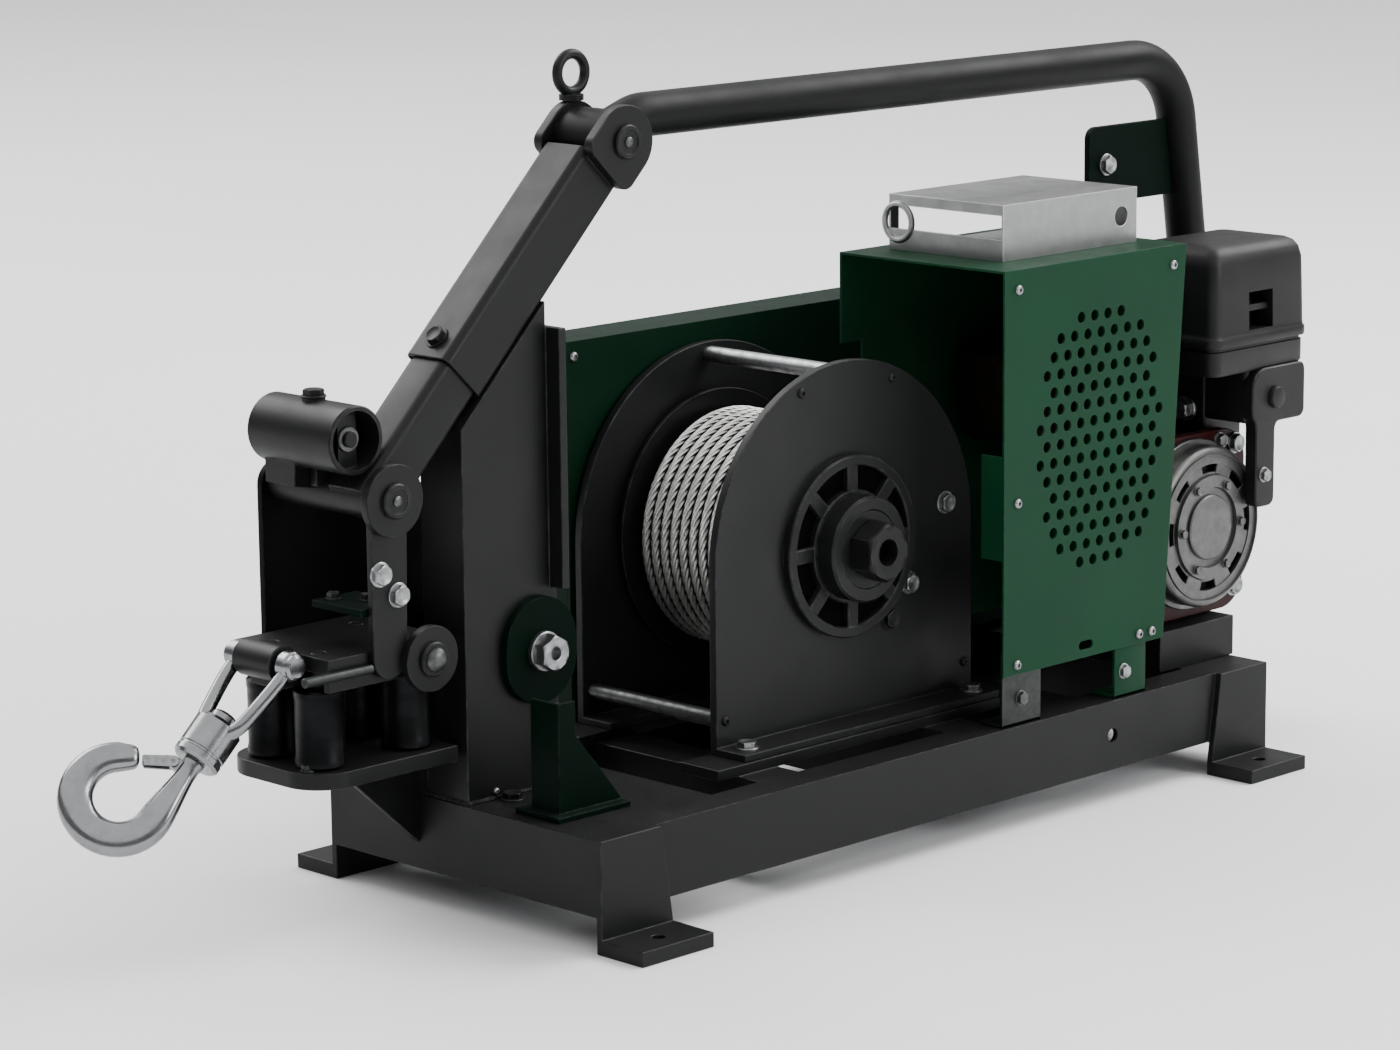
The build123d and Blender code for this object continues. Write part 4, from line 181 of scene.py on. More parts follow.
# Guard, engine and roll bar
GUARD_NEAR_Y = -199
FAN_CENTRE = (479, 280)
SHROUD_NEAR_Y = -135
FAN_COVER_RADIUS = 94
FAN_RIM_RADIUS = 100
FAN_DEPTH = 30
CLEANER_LOW = Vector((458, -185, 440))
CLEANER_HIGH = Vector((636, -50, 606))
CLEANER_BASE_Z = 457
CLEANER_SEAM_Z = 490
CLEANER_WINDOW = (546, 528)
CLEANER_WINDOW_HALF = 22
DUCT_NEAR_Y = -185
DUCT_BOTTOM_Z = 394
CARBURETTOR_BOTTOM_Z = 352

# Fasteners
HEX_FLATS = 19
HEX_HEIGHT = 8
SCREW_RADIUS = 5.5
SCREW_HEIGHT = 3.5

# Directions
UP = (0, 0, 1)
FAR = (0, 1, 0)
NEAR = (0, -1, 0)


# Mesh helpers
def new_object(name, bm):
    """A shaded object in metres from a bmesh in millimetres, which is freed."""
    bmesh.ops.recalc_face_normals(bm, faces=bm.faces)
    bmesh.ops.scale(bm, vec=(MM, MM, MM), verts=bm.verts)
    mesh = bpy.data.meshes.new(name)
    bm.to_mesh(mesh)
    bm.free()
    mesh.shade_smooth()
    mesh.set_sharp_from_angle(angle=SHARP_ANGLE)
    made = bpy.data.objects.new(name, mesh)
    scene.collection.objects.link(made)
    return made


def add_piece(name, bm, finish, stands_for=(), slot=None, body="frame"):
    """A piece with a finish that rides on a body and may stand for CAD nodes."""
    made = new_object(name, bm)
    made.data.materials.append(finishes[finish])
    slot = slot or FINISH_SLOTS.get(finish, finish)
    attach(made, body)
    if stands_for:
        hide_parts(*stands_for)


def frame_at(origin, axis):
    """The matrix that puts Z along an axis at an origin."""
    turn = Vector(axis).to_track_quat("Z", "Y").to_matrix().to_4x4()
    return Matrix.Translation(Vector(origin)) @ turn


def near_place(spot, y):
    """The matrix at a spot in X and Z that puts Z towards the near side."""
    return frame_at((spot[0], y, spot[1]), NEAR)


def axes_at(origin, x_dir, y_dir):
    """The matrix with given X and Y directions at an origin."""
    z_dir = Vector(x_dir).cross(Vector(y_dir))
    turn = Matrix((Vector(x_dir), Vector(y_dir), z_dir)).transposed().to_4x4()
    return Matrix.Translation(Vector(origin)) @ turn


def around(centre, radius, angle):
    """A point in X and Z on a circle."""
    turn = radians(angle)
    return (centre[0] + radius * cos(turn), centre[1] + radius * sin(turn))


def arc(centre, radius, start, end):
    """Points on a circle's arc, every 15 degrees."""
    return [around(centre, radius, angle) for angle in range(start, end + 1, 15)]


def mirrored(half, length=0.0):
    """A profile of radius and height pairs with its mirror image at a length's other end."""
    return half + tuple((radius, length - height) for radius, height in reversed(half))


def join_rings(bm, first, second):
    """Faces between two rings of points; either ring may be a single point."""
    count = max(len(first), len(second))
    for index in range(count):
        after = (index + 1) % count
        corners = [
            first[index % len(first)],
            first[after % len(first)],
            second[after % len(second)],
            second[index % len(second)],
        ]
        bm.faces.new(list(dict.fromkeys(corners)))


def loft(bm, rings):
    """A skin over rings of points with flat ends."""
    made = [[bm.verts.new(point) for point in ring] for ring in rings]
    for first, second in zip(made, made[1:]):
        join_rings(bm, first, second)
    for end in (made[0], made[-1]):
        if len(end) > 2:
            bm.faces.new(end)


def circle(place, radius, height, steps=TURN_STEPS):
    """Points round a placement's Z, or one point when the radius is nil."""
    if radius == 0:
        return [place @ Vector((0.0, 0.0, height))]
    turns = [tau * step / steps for step in range(steps)]
    return [place @ Vector((radius * cos(turn), radius * sin(turn), height)) for turn in turns]


def lathe(bm, place, profile, steps=TURN_STEPS):
    """A solid turned from pairs of radius and height along a placement's Z."""
    loft(bm, [circle(place, radius, height, steps) for radius, height in profile])


def turned_ring(bm, place, profile, steps=TURN_STEPS):
    """A ring turned from a closed profile of radius and height pairs."""
    rings = [[bm.verts.new(point) for point in circle(place, *pair, steps)] for pair in profile]
    for first, second in zip(rings, rings[1:] + rings[:1]):
        join_rings(bm, first, second)


def heading_at(path, index):
    """The direction of a path at one of its points."""
    return (path[min(index + 1, len(path) - 1)] - path[max(index - 1, 0)]).normalized()


def sweep_wire(bm, path, radius):
    """A round wire along a list of points."""
    rings = []
    side = None
    for index, point in enumerate(path):
        heading = heading_at(path, index)
        side = heading.orthogonal() if side is None else side - heading * side.dot(heading)
        side.normalize()
        place = axes_at(point, side, heading.cross(side))
        rings.append(circle(place, radius, 0.0, WIRE_SIDES))
    loft(bm, rings)


def bend_points(before, corner, after, bend, steps):
    """Points round a corner between its two neighbours."""
    start = corner + (before - corner).normalized() * min(bend, (before - corner).length / 2)
    end = corner + (after - corner).normalized() * min(bend, (after - corner).length / 2)
    shares = [step / steps for step in range(steps + 1)]
    return [start.lerp(corner, share).lerp(corner.lerp(end, share), share) for share in shares]


def rounded_path(corners, bend):
    """Points along corners whose inner ones are rounded."""
    points = [corners[0]]
    for before, corner, after in zip(corners, corners[1:], corners[2:]):
        points += bend_points(before, corner, after, bend, 8)
    return points + [corners[-1]]


def rounded_outline(corners, bend):
    """A closed outline in a plane with rounded corners."""
    spots = [Vector(corner) for corner in corners]
    points = []
    for before, corner, after in zip(spots[-1:] + spots, spots, spots[1:] + spots[:1]):
        points += bend_points(before, corner, after, bend, 6)
    return points


def inset(outline, distance):
    """An outline drawn anticlockwise and moved inwards by a distance."""
    points = []
    for index, corner in enumerate(outline):
        before = (Vector(corner) - Vector(outline[index - 1])).normalized()
        after = (Vector(outline[(index + 1) % len(outline)]) - Vector(corner)).normalized()
        across = Vector((-before.y - after.y, before.x + after.x))
        points.append(tuple(Vector(corner) + across * (2 * distance / across.length_squared)))
    return points


def prism(bm, place, outline, low, high, edge):
    """An outline made solid between two heights, with chamfered rims."""
    inner = inset(outline, edge)
    levels = ((inner, low), (outline, low + edge), (outline, high - edge), (inner, high))
    loft(bm, [[place @ Vector((x, y, height)) for x, y in points] for points, height in levels])


def rounded_block(bm, low, high, radius=1.0):
    """A box with rounded edges between two corners."""
    low, high = Vector(low), Vector(high)
    place = Matrix.Translation((low + high) / 2) @ Matrix.Diagonal((*(high - low), 1.0))
    made = bmesh.ops.create_cube(bm, size=1.0, matrix=place)
    edges = {edge for vert in made["verts"] for edge in vert.link_edges}
    bmesh.ops.bevel(bm, geom=list(edges), offset=radius, segments=3, profile=0.5, affect="EDGES")


# Fastener shapes
def hex_ring(place, flats, limit, height):
    """The outline of a hexagon at a height, cut off outside a limiting circle."""
    points = []
    for step in range(HEX_STEPS):
        turn = tau * step / HEX_STEPS
        sector = (turn + pi / 6) % (pi / 3) - pi / 6
        reach = min(flats / 2 / cos(sector), limit)
        points.append(place @ Vector((reach * cos(turn), reach * sin(turn), height)))
    return points


def hex_solid(bm, place, flats, height, dish):
    """A hexagon head with turned corners; dish lists radius and height pairs of its top."""
    rim = 0.78 * height
    rings = [hex_ring(place, flats, flats, 0.0)]
    for share in (0.0, 0.4, 0.7, 1.0):
        limit = flats * (0.578 - 0.088 * share**2)
        rings.append(hex_ring(place, flats, limit, rim + (height - rim) * share))
    rings += [circle(place, radius, level, HEX_STEPS) for radius, level in dish]
    loft(bm, rings)


def hex_bolt(bm, place, flats=HEX_FLATS, height=HEX_HEIGHT):
    """A hexagon bolt head on a washer with the end of its thread inside a dished top."""
    washer = 0.25 * height
    wide = 0.68 * flats
    disc = ((0, 0), (wide, 0), (wide, 0.7 * washer), (0.95 * wide, washer), (0, washer))
    lathe(bm, place, disc, HEX_STEPS)
    seat = place @ Matrix.Translation((0, 0, washer))
    top = height - washer
    dish = ((0.42 * flats, top), (0.36 * flats, 0.88 * top), (0.0, 0.86 * top))
    hex_solid(bm, seat, flats, top, dish)


def pan_screw(bm, place, radius=SCREW_RADIUS, height=SCREW_HEIGHT):
    """A domed screw head with a socket."""
    socket = 0.42 * radius
    profile = (
        (0, 0), (radius, 0), (radius, 0.35 * height), (0.88 * radius, 0.75 * height),
        (0.62 * radius, height), (socket, height), (0.9 * socket, 0.35 * height), (0, 0.3 * height),
    )
    lathe(bm, place, profile, 28)


def weld_bead(bm, path, radius):
    """A rippled weld along a list of corner points."""
    points = []
    for start, end in zip(path, path[1:]):
        steps = max(2, round((end - start).length / (0.45 * radius)))
        points += [start.lerp(end, step / steps) for step in range(steps)]
    points.append(path[-1])
    rings = []
    for index, point in enumerate(points):
        heading = heading_at(points, index)
        side = heading.orthogonal().normalized()
        ripple = radius * (0.86 + 0.14 * sin(1.9 * index) + 0.08 * sin(0.37 * index))
        place = axes_at(point, side, heading.cross(side))
        rings.append(circle(place, ripple, 0.0, 8))
    loft(bm, rings)


# Materials
def shader(name):
    """A new material with its node tree, its main shader and object coordinates."""
    material = bpy.data.materials.new(name)
    material.use_nodes = True
    tree = material.node_tree
    main = tree.nodes["Principled BSDF"]
    coords = tree.nodes.new("ShaderNodeTexCoord")
    return material, tree, main, coords.outputs["Object"]


def new_node(tree, kind, values):
    """A new shader node with inputs set."""
    node = tree.nodes.new(f"ShaderNode{kind}")
    for name, value in values.items():
        node.inputs[name].default_value = value
    return node


def noise(tree, coords, scale, detail=4.0, roughness=0.6, stretch=None):
    """A noise value, stretched along axes if asked."""
    source = coords
    if stretch:
        mapping = new_node(tree, "Mapping", {"Scale": stretch})
        tree.links.new(coords, mapping.inputs["Vector"])
        source = mapping.outputs["Vector"]
    texture = new_node(tree, "TexNoise", {"Scale": scale, "Detail": detail, "Roughness": roughness})
    tree.links.new(source, texture.inputs["Vector"])
    return texture.outputs["Fac"]


def remap(tree, value, low, high, new_low=0.0, new_high=1.0):
    """A value moved from one range to another and held there."""
    ranges = {"From Min": low, "From Max": high, "To Min": new_low, "To Max": new_high}
    node = new_node(tree, "MapRange", ranges)
    tree.links.new(value, node.inputs["Value"])
    return node.outputs["Result"]


def times(tree, first, second):
    """The product of two values."""
    node = tree.nodes.new("ShaderNodeMath")
    node.operation = "MULTIPLY"
    tree.links.new(first, node.inputs[0])
    tree.links.new(second, node.inputs[1])
    return node.outputs["Value"]


def mix_colors(tree, share, first, second):
    """A mix of two colours; each is a tuple or a socket."""
    node = tree.nodes.new("ShaderNodeMix")
    node.data_type = "RGBA"
    tree.links.new(share, node.inputs["Factor"])
    for socket, value in ((node.inputs[6], first), (node.inputs[7], second)):
        if isinstance(value, tuple):
            socket.default_value = (*value, 1.0)
        else:
            tree.links.new(value, socket)
    return node.outputs[2]


def bump(tree, height, strength, distance):
    """A normal from a height."""
    node = new_node(tree, "Bump", {"Strength": strength, "Distance": distance})
    tree.links.new(height, node.inputs["Height"])
    return node.outputs["Normal"]


def vector_math(tree, operation, first, second=None):
    """A vector operation on a socket and perhaps a second socket or tuple."""
    node = tree.nodes.new("ShaderNodeVectorMath")
    node.operation = operation
    tree.links.new(first, node.inputs[0])
    if isinstance(second, tuple):
        node.inputs[1].default_value = second
    elif second is not None:
        tree.links.new(second, node.inputs[1])
    return node


def edge_mask(tree, radius):
    """A value that is 1 at edges and 0 on flat faces."""
    bevel = new_node(tree, "Bevel", {"Radius": radius})
    bevel.samples = 4
    geometry = tree.nodes.new("ShaderNodeNewGeometry")
    dot = vector_math(tree, "DOT_PRODUCT", bevel.outputs["Normal"], geometry.outputs["Normal"])
    return remap(tree, dot.outputs["Value"], 0.995, 0.9)


def upward(tree, low, high):
    """A value that grows from 0 to 1 as a face turns up."""
    geometry = tree.nodes.new("ShaderNodeNewGeometry")
    split = tree.nodes.new("ShaderNodeSeparateXYZ")
    tree.links.new(geometry.outputs["Normal"], split.inputs["Vector"])
    return remap(tree, split.outputs["Z"], low, high)


def set_roughness(tree, main, value, low, high):
    """A roughness that follows a noise value."""
    tree.links.new(remap(tree, value, 0.3, 0.7, low, high), main.inputs["Roughness"])


def paint(name, color, worn, roughness, gloss, peel=0.06):
    """Sprayed paint: slight clouds, orange peel, settled dust and lighter edges."""
    material, tree, main, coords = shader(name)
    main.inputs["Specular IOR Level"].default_value = gloss
    clouds = remap(tree, noise(tree, coords, 7.0), 0.35, 0.65)
    deep = tuple(0.8 * value for value in color)
    body = mix_colors(tree, clouds, deep, color)
    chips = remap(tree, noise(tree, coords, 60.0, 6.0, 0.7), 0.45, 0.62, 0.0, 0.7)
    edges = times(tree, edge_mask(tree, 2.0 * MM), chips)
    body = mix_colors(tree, edges, body, worn)
    specks = remap(tree, noise(tree, coords, 240.0, 4.0, 0.8), 0.55, 0.8, 0.02, 0.12)
    dust = times(tree, specks, upward(tree, 0.3, 0.95))
    body = mix_colors(tree, dust, body, (0.20, 0.20, 0.19))
    tree.links.new(body, main.inputs["Base Color"])
    smears = noise(tree, coords, 14.0, 6.0, 0.65)
    set_roughness(tree, main, smears, roughness - 0.06, roughness + 0.1)
    grain = noise(tree, coords, 320.0, 2.0, 0.5)
    tree.links.new(bump(tree, grain, peel, 0.4 * MM), main.inputs["Normal"])
    return material


def bare_metal(name, color, dark, roughness, grain_scale, stretch=None, edge=None):
    """Bare or plated metal: streaks, stains, fine scratches and, if asked, a painted highlight along the
    edges.
    """
    material, tree, main, coords = shader(name)
    main.inputs["Metallic"].default_value = 1.0
    streaks = noise(tree, coords, grain_scale, 5.0, 0.65, stretch)
    body = mix_colors(tree, remap(tree, streaks, 0.3, 0.7), dark, color)
    stains = remap(tree, noise(tree, coords, 24.0, 5.0, 0.7), 0.5, 0.75, 0.0, 0.45)
    body = mix_colors(tree, stains, body, dark)
    # Painted highlight: a brighter colour along the edges
    if edge:
        body = mix_colors(tree, edge_mask(tree, 1.8 * MM), body, edge)
    tree.links.new(body, main.inputs["Base Color"])
    set_roughness(tree, main, streaks, roughness + 0.12, roughness - 0.06)
    tree.links.new(bump(tree, streaks, 0.12, 0.2 * MM), main.inputs["Normal"])
    return material


def plastic(name, color, roughness, gloss):
    """Moulded plastic with a fine spark grain."""
    material, tree, main, coords = shader(name)
    main.inputs["Specular IOR Level"].default_value = gloss
    clouds = remap(tree, noise(tree, coords, 9.0), 0.35, 0.65)
    lighter = tuple(1.35 * value for value in color)
    tree.links.new(mix_colors(tree, clouds, color, lighter), main.inputs["Base Color"])
    smears = noise(tree, coords, 18.0, 5.0)
    set_roughness(tree, main, smears, roughness - 0.06, roughness + 0.08)
    grain = noise(tree, coords, 1400.0, 1.0, 0.5)
    tree.links.new(bump(tree, grain, 0.18, 0.25 * MM), main.inputs["Normal"])
    return material


def rope_metal(name):
    """Rope wire, with painted shade that darkens it towards the drum's axis, in the valleys between turns.
    """
    material, tree, main, coords = shader(name)
    main.inputs["Metallic"].default_value = 1.0
    wires = noise(tree, coords, 160.0, 5.0, 0.65)
    body = mix_colors(tree, remap(tree, wires, 0.3, 0.7), (0.52, 0.512, 0.49), (0.94, 0.93, 0.90))
    # Painted shade: wire nearer the drum's axis than the rope's crown, in the valleys between turns, is
    # darkened to near black
    offset = vector_math(tree, "SUBTRACT", coords, (DRUM_X * MM, 0.0, DRUM_Z * MM))
    across = vector_math(tree, "MULTIPLY", offset.outputs["Vector"], (1.0, 0.0, 1.0))
    reach = vector_math(tree, "LENGTH", across.outputs["Vector"])
    outer = ROPE_CENTRE_RADIUS + ROPE_DIAMETER / 2
    valley_shade = remap(tree, reach.outputs["Value"], (outer - 4.2) * MM, (outer - 1.5) * MM, 1.0, 0.0)
    body = mix_colors(tree, valley_shade, body, (0.014, 0.014, 0.013))
    tree.links.new(body, main.inputs["Base Color"])
    set_roughness(tree, main, wires, 0.5, 0.32)
    return material


# Colour, worn colour, roughness and gloss of each paint, and for some its orange peel
PAINTS = {
    "black_paint": ((0.0058, 0.0061, 0.0062), (0.07, 0.072, 0.074), 0.40, 0.17),
    # A lighter copy of the black paint: painted light on the drum plates and the bearing carrier
    "lit_plate_paint": ((0.0086, 0.0090, 0.0092), (0.09, 0.092, 0.094), 0.42, 0.17),
    "bar_paint": ((0.0062, 0.0065, 0.0066), (0.06, 0.062, 0.064), 0.46, 0.10, 0.05),
    # A darker copy of the black paint: painted shade on the far cheek
    "shaded_cheek_paint": ((0.0022, 0.0023, 0.0023), (0.03, 0.031, 0.032), 0.5, 0.05),
    # Near black for a disc that paints the shade in the bearing carrier's wells
    "painted_well_shade": ((0.0006, 0.0006, 0.0006), (0.004, 0.004, 0.004), 0.70, 0.03),
    "green_paint": ((0.0030, 0.0340, 0.0135), (0.02, 0.08, 0.045), 0.42, 0.08),
    "dark_green_paint": ((0.0014, 0.0140, 0.0062), (0.01, 0.04, 0.025), 0.45, 0.06),
    # A darker copy of the green paint: painted shade on the tie plate, brackets and corner leg
    "shadowed_green_paint": ((0.0008, 0.0056, 0.0030), (0.02, 0.05, 0.035), 0.46, 0.03),
    "red_paint": ((0.022, 0.0016, 0.0016), (0.12, 0.03, 0.027), 0.36, 0.12, 0.04),
    "tank_paint": ((0.005, 0.005, 0.0054), (0.05, 0.05, 0.05), 0.28, 0.2, 0.03),
}
# Colour, dark colour, roughness and grain of each metal, and for some its stretch and the colour of a
# painted edge highlight
METALS = {
    "bright_steel": ((0.38, 0.385, 0.39), (0.16, 0.163, 0.166), 0.34, 90.0),
    "forged_steel": ((0.25, 0.253, 0.258), (0.20, 0.203, 0.207), 0.20, 40.0),
    "rod_steel": ((0.12, 0.122, 0.122), (0.05, 0.051, 0.051), 0.40, 90.0),
    "dull_steel": ((0.048, 0.052, 0.050), (0.034, 0.037, 0.036), 0.46, 90.0),
    "roller_steel": ((0.012, 0.0125, 0.013), (0.006, 0.0062, 0.0066), 0.4, 50.0, (0.3, 0.3, 1.0)),
    "gear_iron": ((0.06, 0.06, 0.062), (0.025, 0.025, 0.026), 0.45, 120.0),
    # The tray's pale edge colour is a painted highlight along its bent edges
    "tray_sheet": ((0.31, 0.315, 0.31), (0.27, 0.274, 0.27), 0.40, 40.0, None, (0.62, 0.625, 0.62)),
    "engine_aluminium": ((0.13, 0.13, 0.127), (0.10, 0.10, 0.098), 0.42, 60.0),
    "muffler_steel": ((0.05, 0.036, 0.028), (0.018, 0.013, 0.010), 0.55, 60.0),
}
# Colour, roughness and gloss of each plastic
PLASTICS = {
    "black_plastic": ((0.0036, 0.0036, 0.0038), 0.46, 0.24),
    "belt_rubber": ((0.004, 0.004, 0.004), 0.8, 0.1),
}
finishes = {"rope_wire": rope_metal("rope_wire")}
for make, looks in ((paint, PAINTS), (bare_metal, METALS), (plastic, PLASTICS)):
    finishes |= {name: make(name, *look) for name, look in looks.items()}
finishes["engine_red"] = finishes["red_paint"]

# CAD nodes whose finish differs from their slot's
NODE_GROUPS = {
    # These parts take the darker copy of the green paint, as painted shade
    "shadowed_green_paint": ("tie_plate", "mast_bracket", "corner_leg", "bar_bracket"),
    # The drum plates take the lighter copy of the black paint, as painted light
    "lit_plate_paint": ("drum_plate_near", "drum_plate_far"),
    "bar_paint": ("roll_bar",),
    # The far cheek takes the darker copy of the black paint, as painted shade
    "shaded_cheek_paint": ("far_cheek",),
    "dark_green_paint": ("gear_panel", "gear_cover"),
}
node_finishes = {node: finish for finish, group in NODE_GROUPS.items() for node in group}
# Slots of the finishes that have no slot of their own name
FINISH_SLOTS = {
    "lit_plate_paint": "black_paint",
    "painted_well_shade": "black_paint",
    "forged_steel": "bright_steel",
    "rod_steel": "bright_steel",
    "dull_steel": "bright_steel",
}


# CAD nodes: each gets its finish, and all but bent bars, gears and the belt get softened edges
EDGE_WIDTH = 1.2 * MM
THIN_EDGE_WIDTH = 0.5 * MM
EDGE_ANGLE = radians(35)
UNSOFTENED = ("lifting_eye", "roll_bar", "bull_gear", "pinion_shaft", "drive_belt")
THIN_SHEETS = ("guard_panel", "guard_hood", "gear_panel", "gear_cover", "tool_tray")


def soften(made, width):
    """Rounds the sharp edges of a CAD node's shown shape."""
    weld = made.modifiers.new("weld", "WELD")
    weld.merge_threshold = 0.005 * MM
    flat = made.modifiers.new("flat", "DECIMATE")
    flat.decimate_type = "DISSOLVE"
    flat.angle_limit = radians(0.6)
    bevel = made.modifiers.new("edges", "BEVEL")
    bevel.width = width
    bevel.segments = 2
    bevel.limit_method = "ANGLE"
    bevel.angle_limit = EDGE_ANGLE
    bevel.use_clamp_overlap = False
    made.modifiers.new("normals", "WEIGHTED_NORMAL")


for part in frame["record"]["subparts"]:
    node = part["node"]
    shown = nodes[node]
    shown.data.materials.clear()
    shown.data.materials.append(finishes[node_finishes.get(node, part["material_slot"])])
    if node not in UNSOFTENED:
        soften(shown, THIN_EDGE_WIDTH if node in THIN_SHEETS else EDGE_WIDTH)


# Wire rope: strands of wires laid round the winding's centre line, over a heart
def rope_point(distance):
    """The centre of the rope and its radial and cross directions at a distance along it."""
    held = min(max(distance, 0), ROPE_LAP * ROPE_TURNS)
    angle = tau * held / ROPE_LAP
    radial = Vector((cos(angle), 0, sin(angle)))
    forward = Vector((-sin(angle), 0, cos(angle)))
    along = forward * (tau * ROPE_CENTRE_RADIUS / ROPE_LAP) + Vector((0, ROPE_PITCH / ROPE_LAP, 0))
    axis = Vector((DRUM_X, ROPE_START_Y + ROPE_PITCH * held / ROPE_LAP, DRUM_Z))
    centre = axis + radial * ROPE_CENTRE_RADIUS + along * (distance - held)
    return centre, radial, along.cross(radial)


def rope_stations():
    """Distances along the rope from end to end."""
    start, end = -ROPE_DIAMETER, ROPE_LAP * ROPE_TURNS + ROPE_DIAMETER
    count = round((end - start) / ROPE_STEP)
    return [start + (end - start) * step / count for step in range(count + 1)]


def rope_bundle(bm, orbit, radius, start_turn, corners, groove):
    """One strand of the rope as a bundle of wires, or its heart when the orbit is nil."""
    rings = []
    for distance in rope_stations():
        centre, radial, cross = rope_point(distance)
        turn = tau * (distance / ROPE_LAY + start_turn)
        middle = centre + (radial * cos(turn) + cross * sin(turn)) * orbit
        ring = []
        for corner in range(corners):
            angle = tau * corner / corners
            reach = radius * (1 if corner % 2 == 0 else 1 - groove)
            ring.append(middle + (radial * cos(angle) + cross * sin(angle)) * reach)
        rings.append(ring)
    loft(bm, rings)


def build_rope():
    """The visible rope layer."""
    bm = bmesh.new()
    spread = sin(pi / ROPE_STRANDS)
    strand = ROPE_DIAMETER / 2 * spread / (1 + spread)
    for index in range(ROPE_STRANDS):
        turn = index / ROPE_STRANDS
        rope_bundle(bm, ROPE_DIAMETER / 2 - strand, strand, turn, 2 * WIRES_PER_STRAND, WIRE_GROOVE)
    rope_bundle(bm, 0, ROPE_HEART, 0, 10, 0)
    add_piece("rope_strands", bm, "rope_wire", ("rope_winding",), body="drum_assembly")


# Drum bearing, shaft and tie rods
def build_carrier():
    """The near bearing carrier: ring, ribs, stepped boss, and a near-black disc that paints the shade in
    its wells.
    """
    place = near_place(DRUM_SPOT, NEAR_PLATE_Y)
    bm = bmesh.new()
    turned_ring(bm, place, ((88, 0), (100, 0), (100, 8.5), (98.5, 10), (89.5, 10), (88, 8.5)))
    boss = (
        (SHAFT_RADIUS + 0.5, 0), (62, 0), (62, 8.5), (60.5, 10), (58, 10), (58, 31.5),
        (55.5, 34), (44, 34), (42, 32), (SHAFT_RADIUS + 0.5, 32),
    )
    turned_ring(bm, place, boss)
    rib = ((56, -8), (92, -8), (92, 8), (56, 8))
    for index in range(CARRIER_RIBS):
        turn = Matrix.Rotation(tau * index / CARRIER_RIBS, 4, "Z")
        prism(bm, place @ turn, rib, 0, 9.2, 1.2)
    # The carrier takes the lighter plate paint, as painted light
    add_piece("bearing_carrier", bm, "lit_plate_paint", ("drum_bearing_near",))
    # Painted shade: a near-black disc on the floor of the wells between the ribs
    wells = bmesh.new()
    turned_ring(wells, place, ((60, 0.2), (90, 0.2), (90, 1.4), (60, 1.4)))
    add_piece("carrier_well_shade_disc", wells, "painted_well_shade", ("drum_bearing_near",))


def build_shaft():
    """The drum shaft and its bored end nut."""
    nut_far_y = SHAFT_NUT_NEAR_Y + SHAFT_NUT_LENGTH
    place = near_place(DRUM_SPOT, nut_far_y)
    bm = bmesh.new()
    top = SHAFT_NUT_LENGTH
    bore = SHAFT_BORE_RADIUS
    hex_solid(bm, place, SHAFT_NUT_FLATS, top, ((bore + 6, top), (bore, top - 1.5), (bore, 4), (0, 4)))
    length = SHAFT_END_Y - nut_far_y
    back = frame_at((DRUM_X, nut_far_y, DRUM_Z), FAR)
    rod = ((0, -2), (SHAFT_RADIUS, -2), (SHAFT_RADIUS, length - 2), (SHAFT_RADIUS - 2, length), (0, length))
    lathe(bm, back, rod)
    add_piece("drum_shaft_and_nut", bm, "black_paint", ("drum_shaft",), body="drum_assembly")


def tie_rod(bm, spot):
    """One tie rod between the drum plates with turned-down ends."""
    start = NEAR_PLATE_Y + PLATE_THICKNESS
    length = FAR_PLATE_IN_Y - start
    place = frame_at((spot[0], start, spot[1]), FAR)
    radius, neck = TIE_ROD_RADIUS, TIE_ROD_RADIUS - 1.2
    lathe(bm, place, mirrored(((0, 0), (neck, 0), (neck, 5), (radius, 6.2)), length), 32)


def build_tie_rods():
    """The bright upper rod and the dull lower rods."""
    upper = bmesh.new()
    tie_rod(upper, around(DRUM_SPOT, TIE_ROD_REACH, TIE_ROD_ANGLE))
    add_piece("upper_tie_rod", upper, "bright_steel", ("tie_rods",))
    lower = bmesh.new()
    for side in (-1, 1):
        tie_rod(lower, (DRUM_X + side * TIE_ROD_REACH, TIE_ROD_LOW_Z))
    add_piece("lower_tie_rods", lower, "rod_steel", ("tie_rods",))


# Bolts and screws
BRIGHT_BOLTS = (
    ((DRUM_X - 178, -105, STAND_FOOT_TOP_Z), UP),
    ((DRUM_X + 178, -105, STAND_FOOT_TOP_Z), UP),
    ((52.9, NEAR_PLATE_Y, 270.5), NEAR),
    ((112, NEAR_PLATE_Y, 351.9), NEAR),
    ((561, SHROUD_NEAR_Y, 364.9), NEAR),
    ((397, SHROUD_NEAR_Y, 364.9), NEAR),
    ((561, SHROUD_NEAR_Y, 195.1), NEAR),
    ((510, 20, 683), NEAR),
    ((-645.9, LINK_NEAR_Y, 378.2), NEAR),
    ((-623.2, LINK_NEAR_Y, 354), NEAR),
)
DARK_BOLTS = (
    ((-483, -22, BASE_TOP_Z), UP),
    ((SHELL_SPOT[0], SHELL_MIDDLE_Y, SHELL_PAD_Z), UP),
    ((BOOM_SEAT[0], MAST_CENTRE_Y, BOOM_SEAT[1]), BOOM_NORMAL),
    ((21.4, NEAR_PLATE_Y, 235.6), NEAR),
)
GUARD_SCREWS = ((102, 187), (102, 366.5), (102, 600), (364.3, 600), (332.8, 187), (310.8, 187))
PANEL_SCREW = (-240, 533)


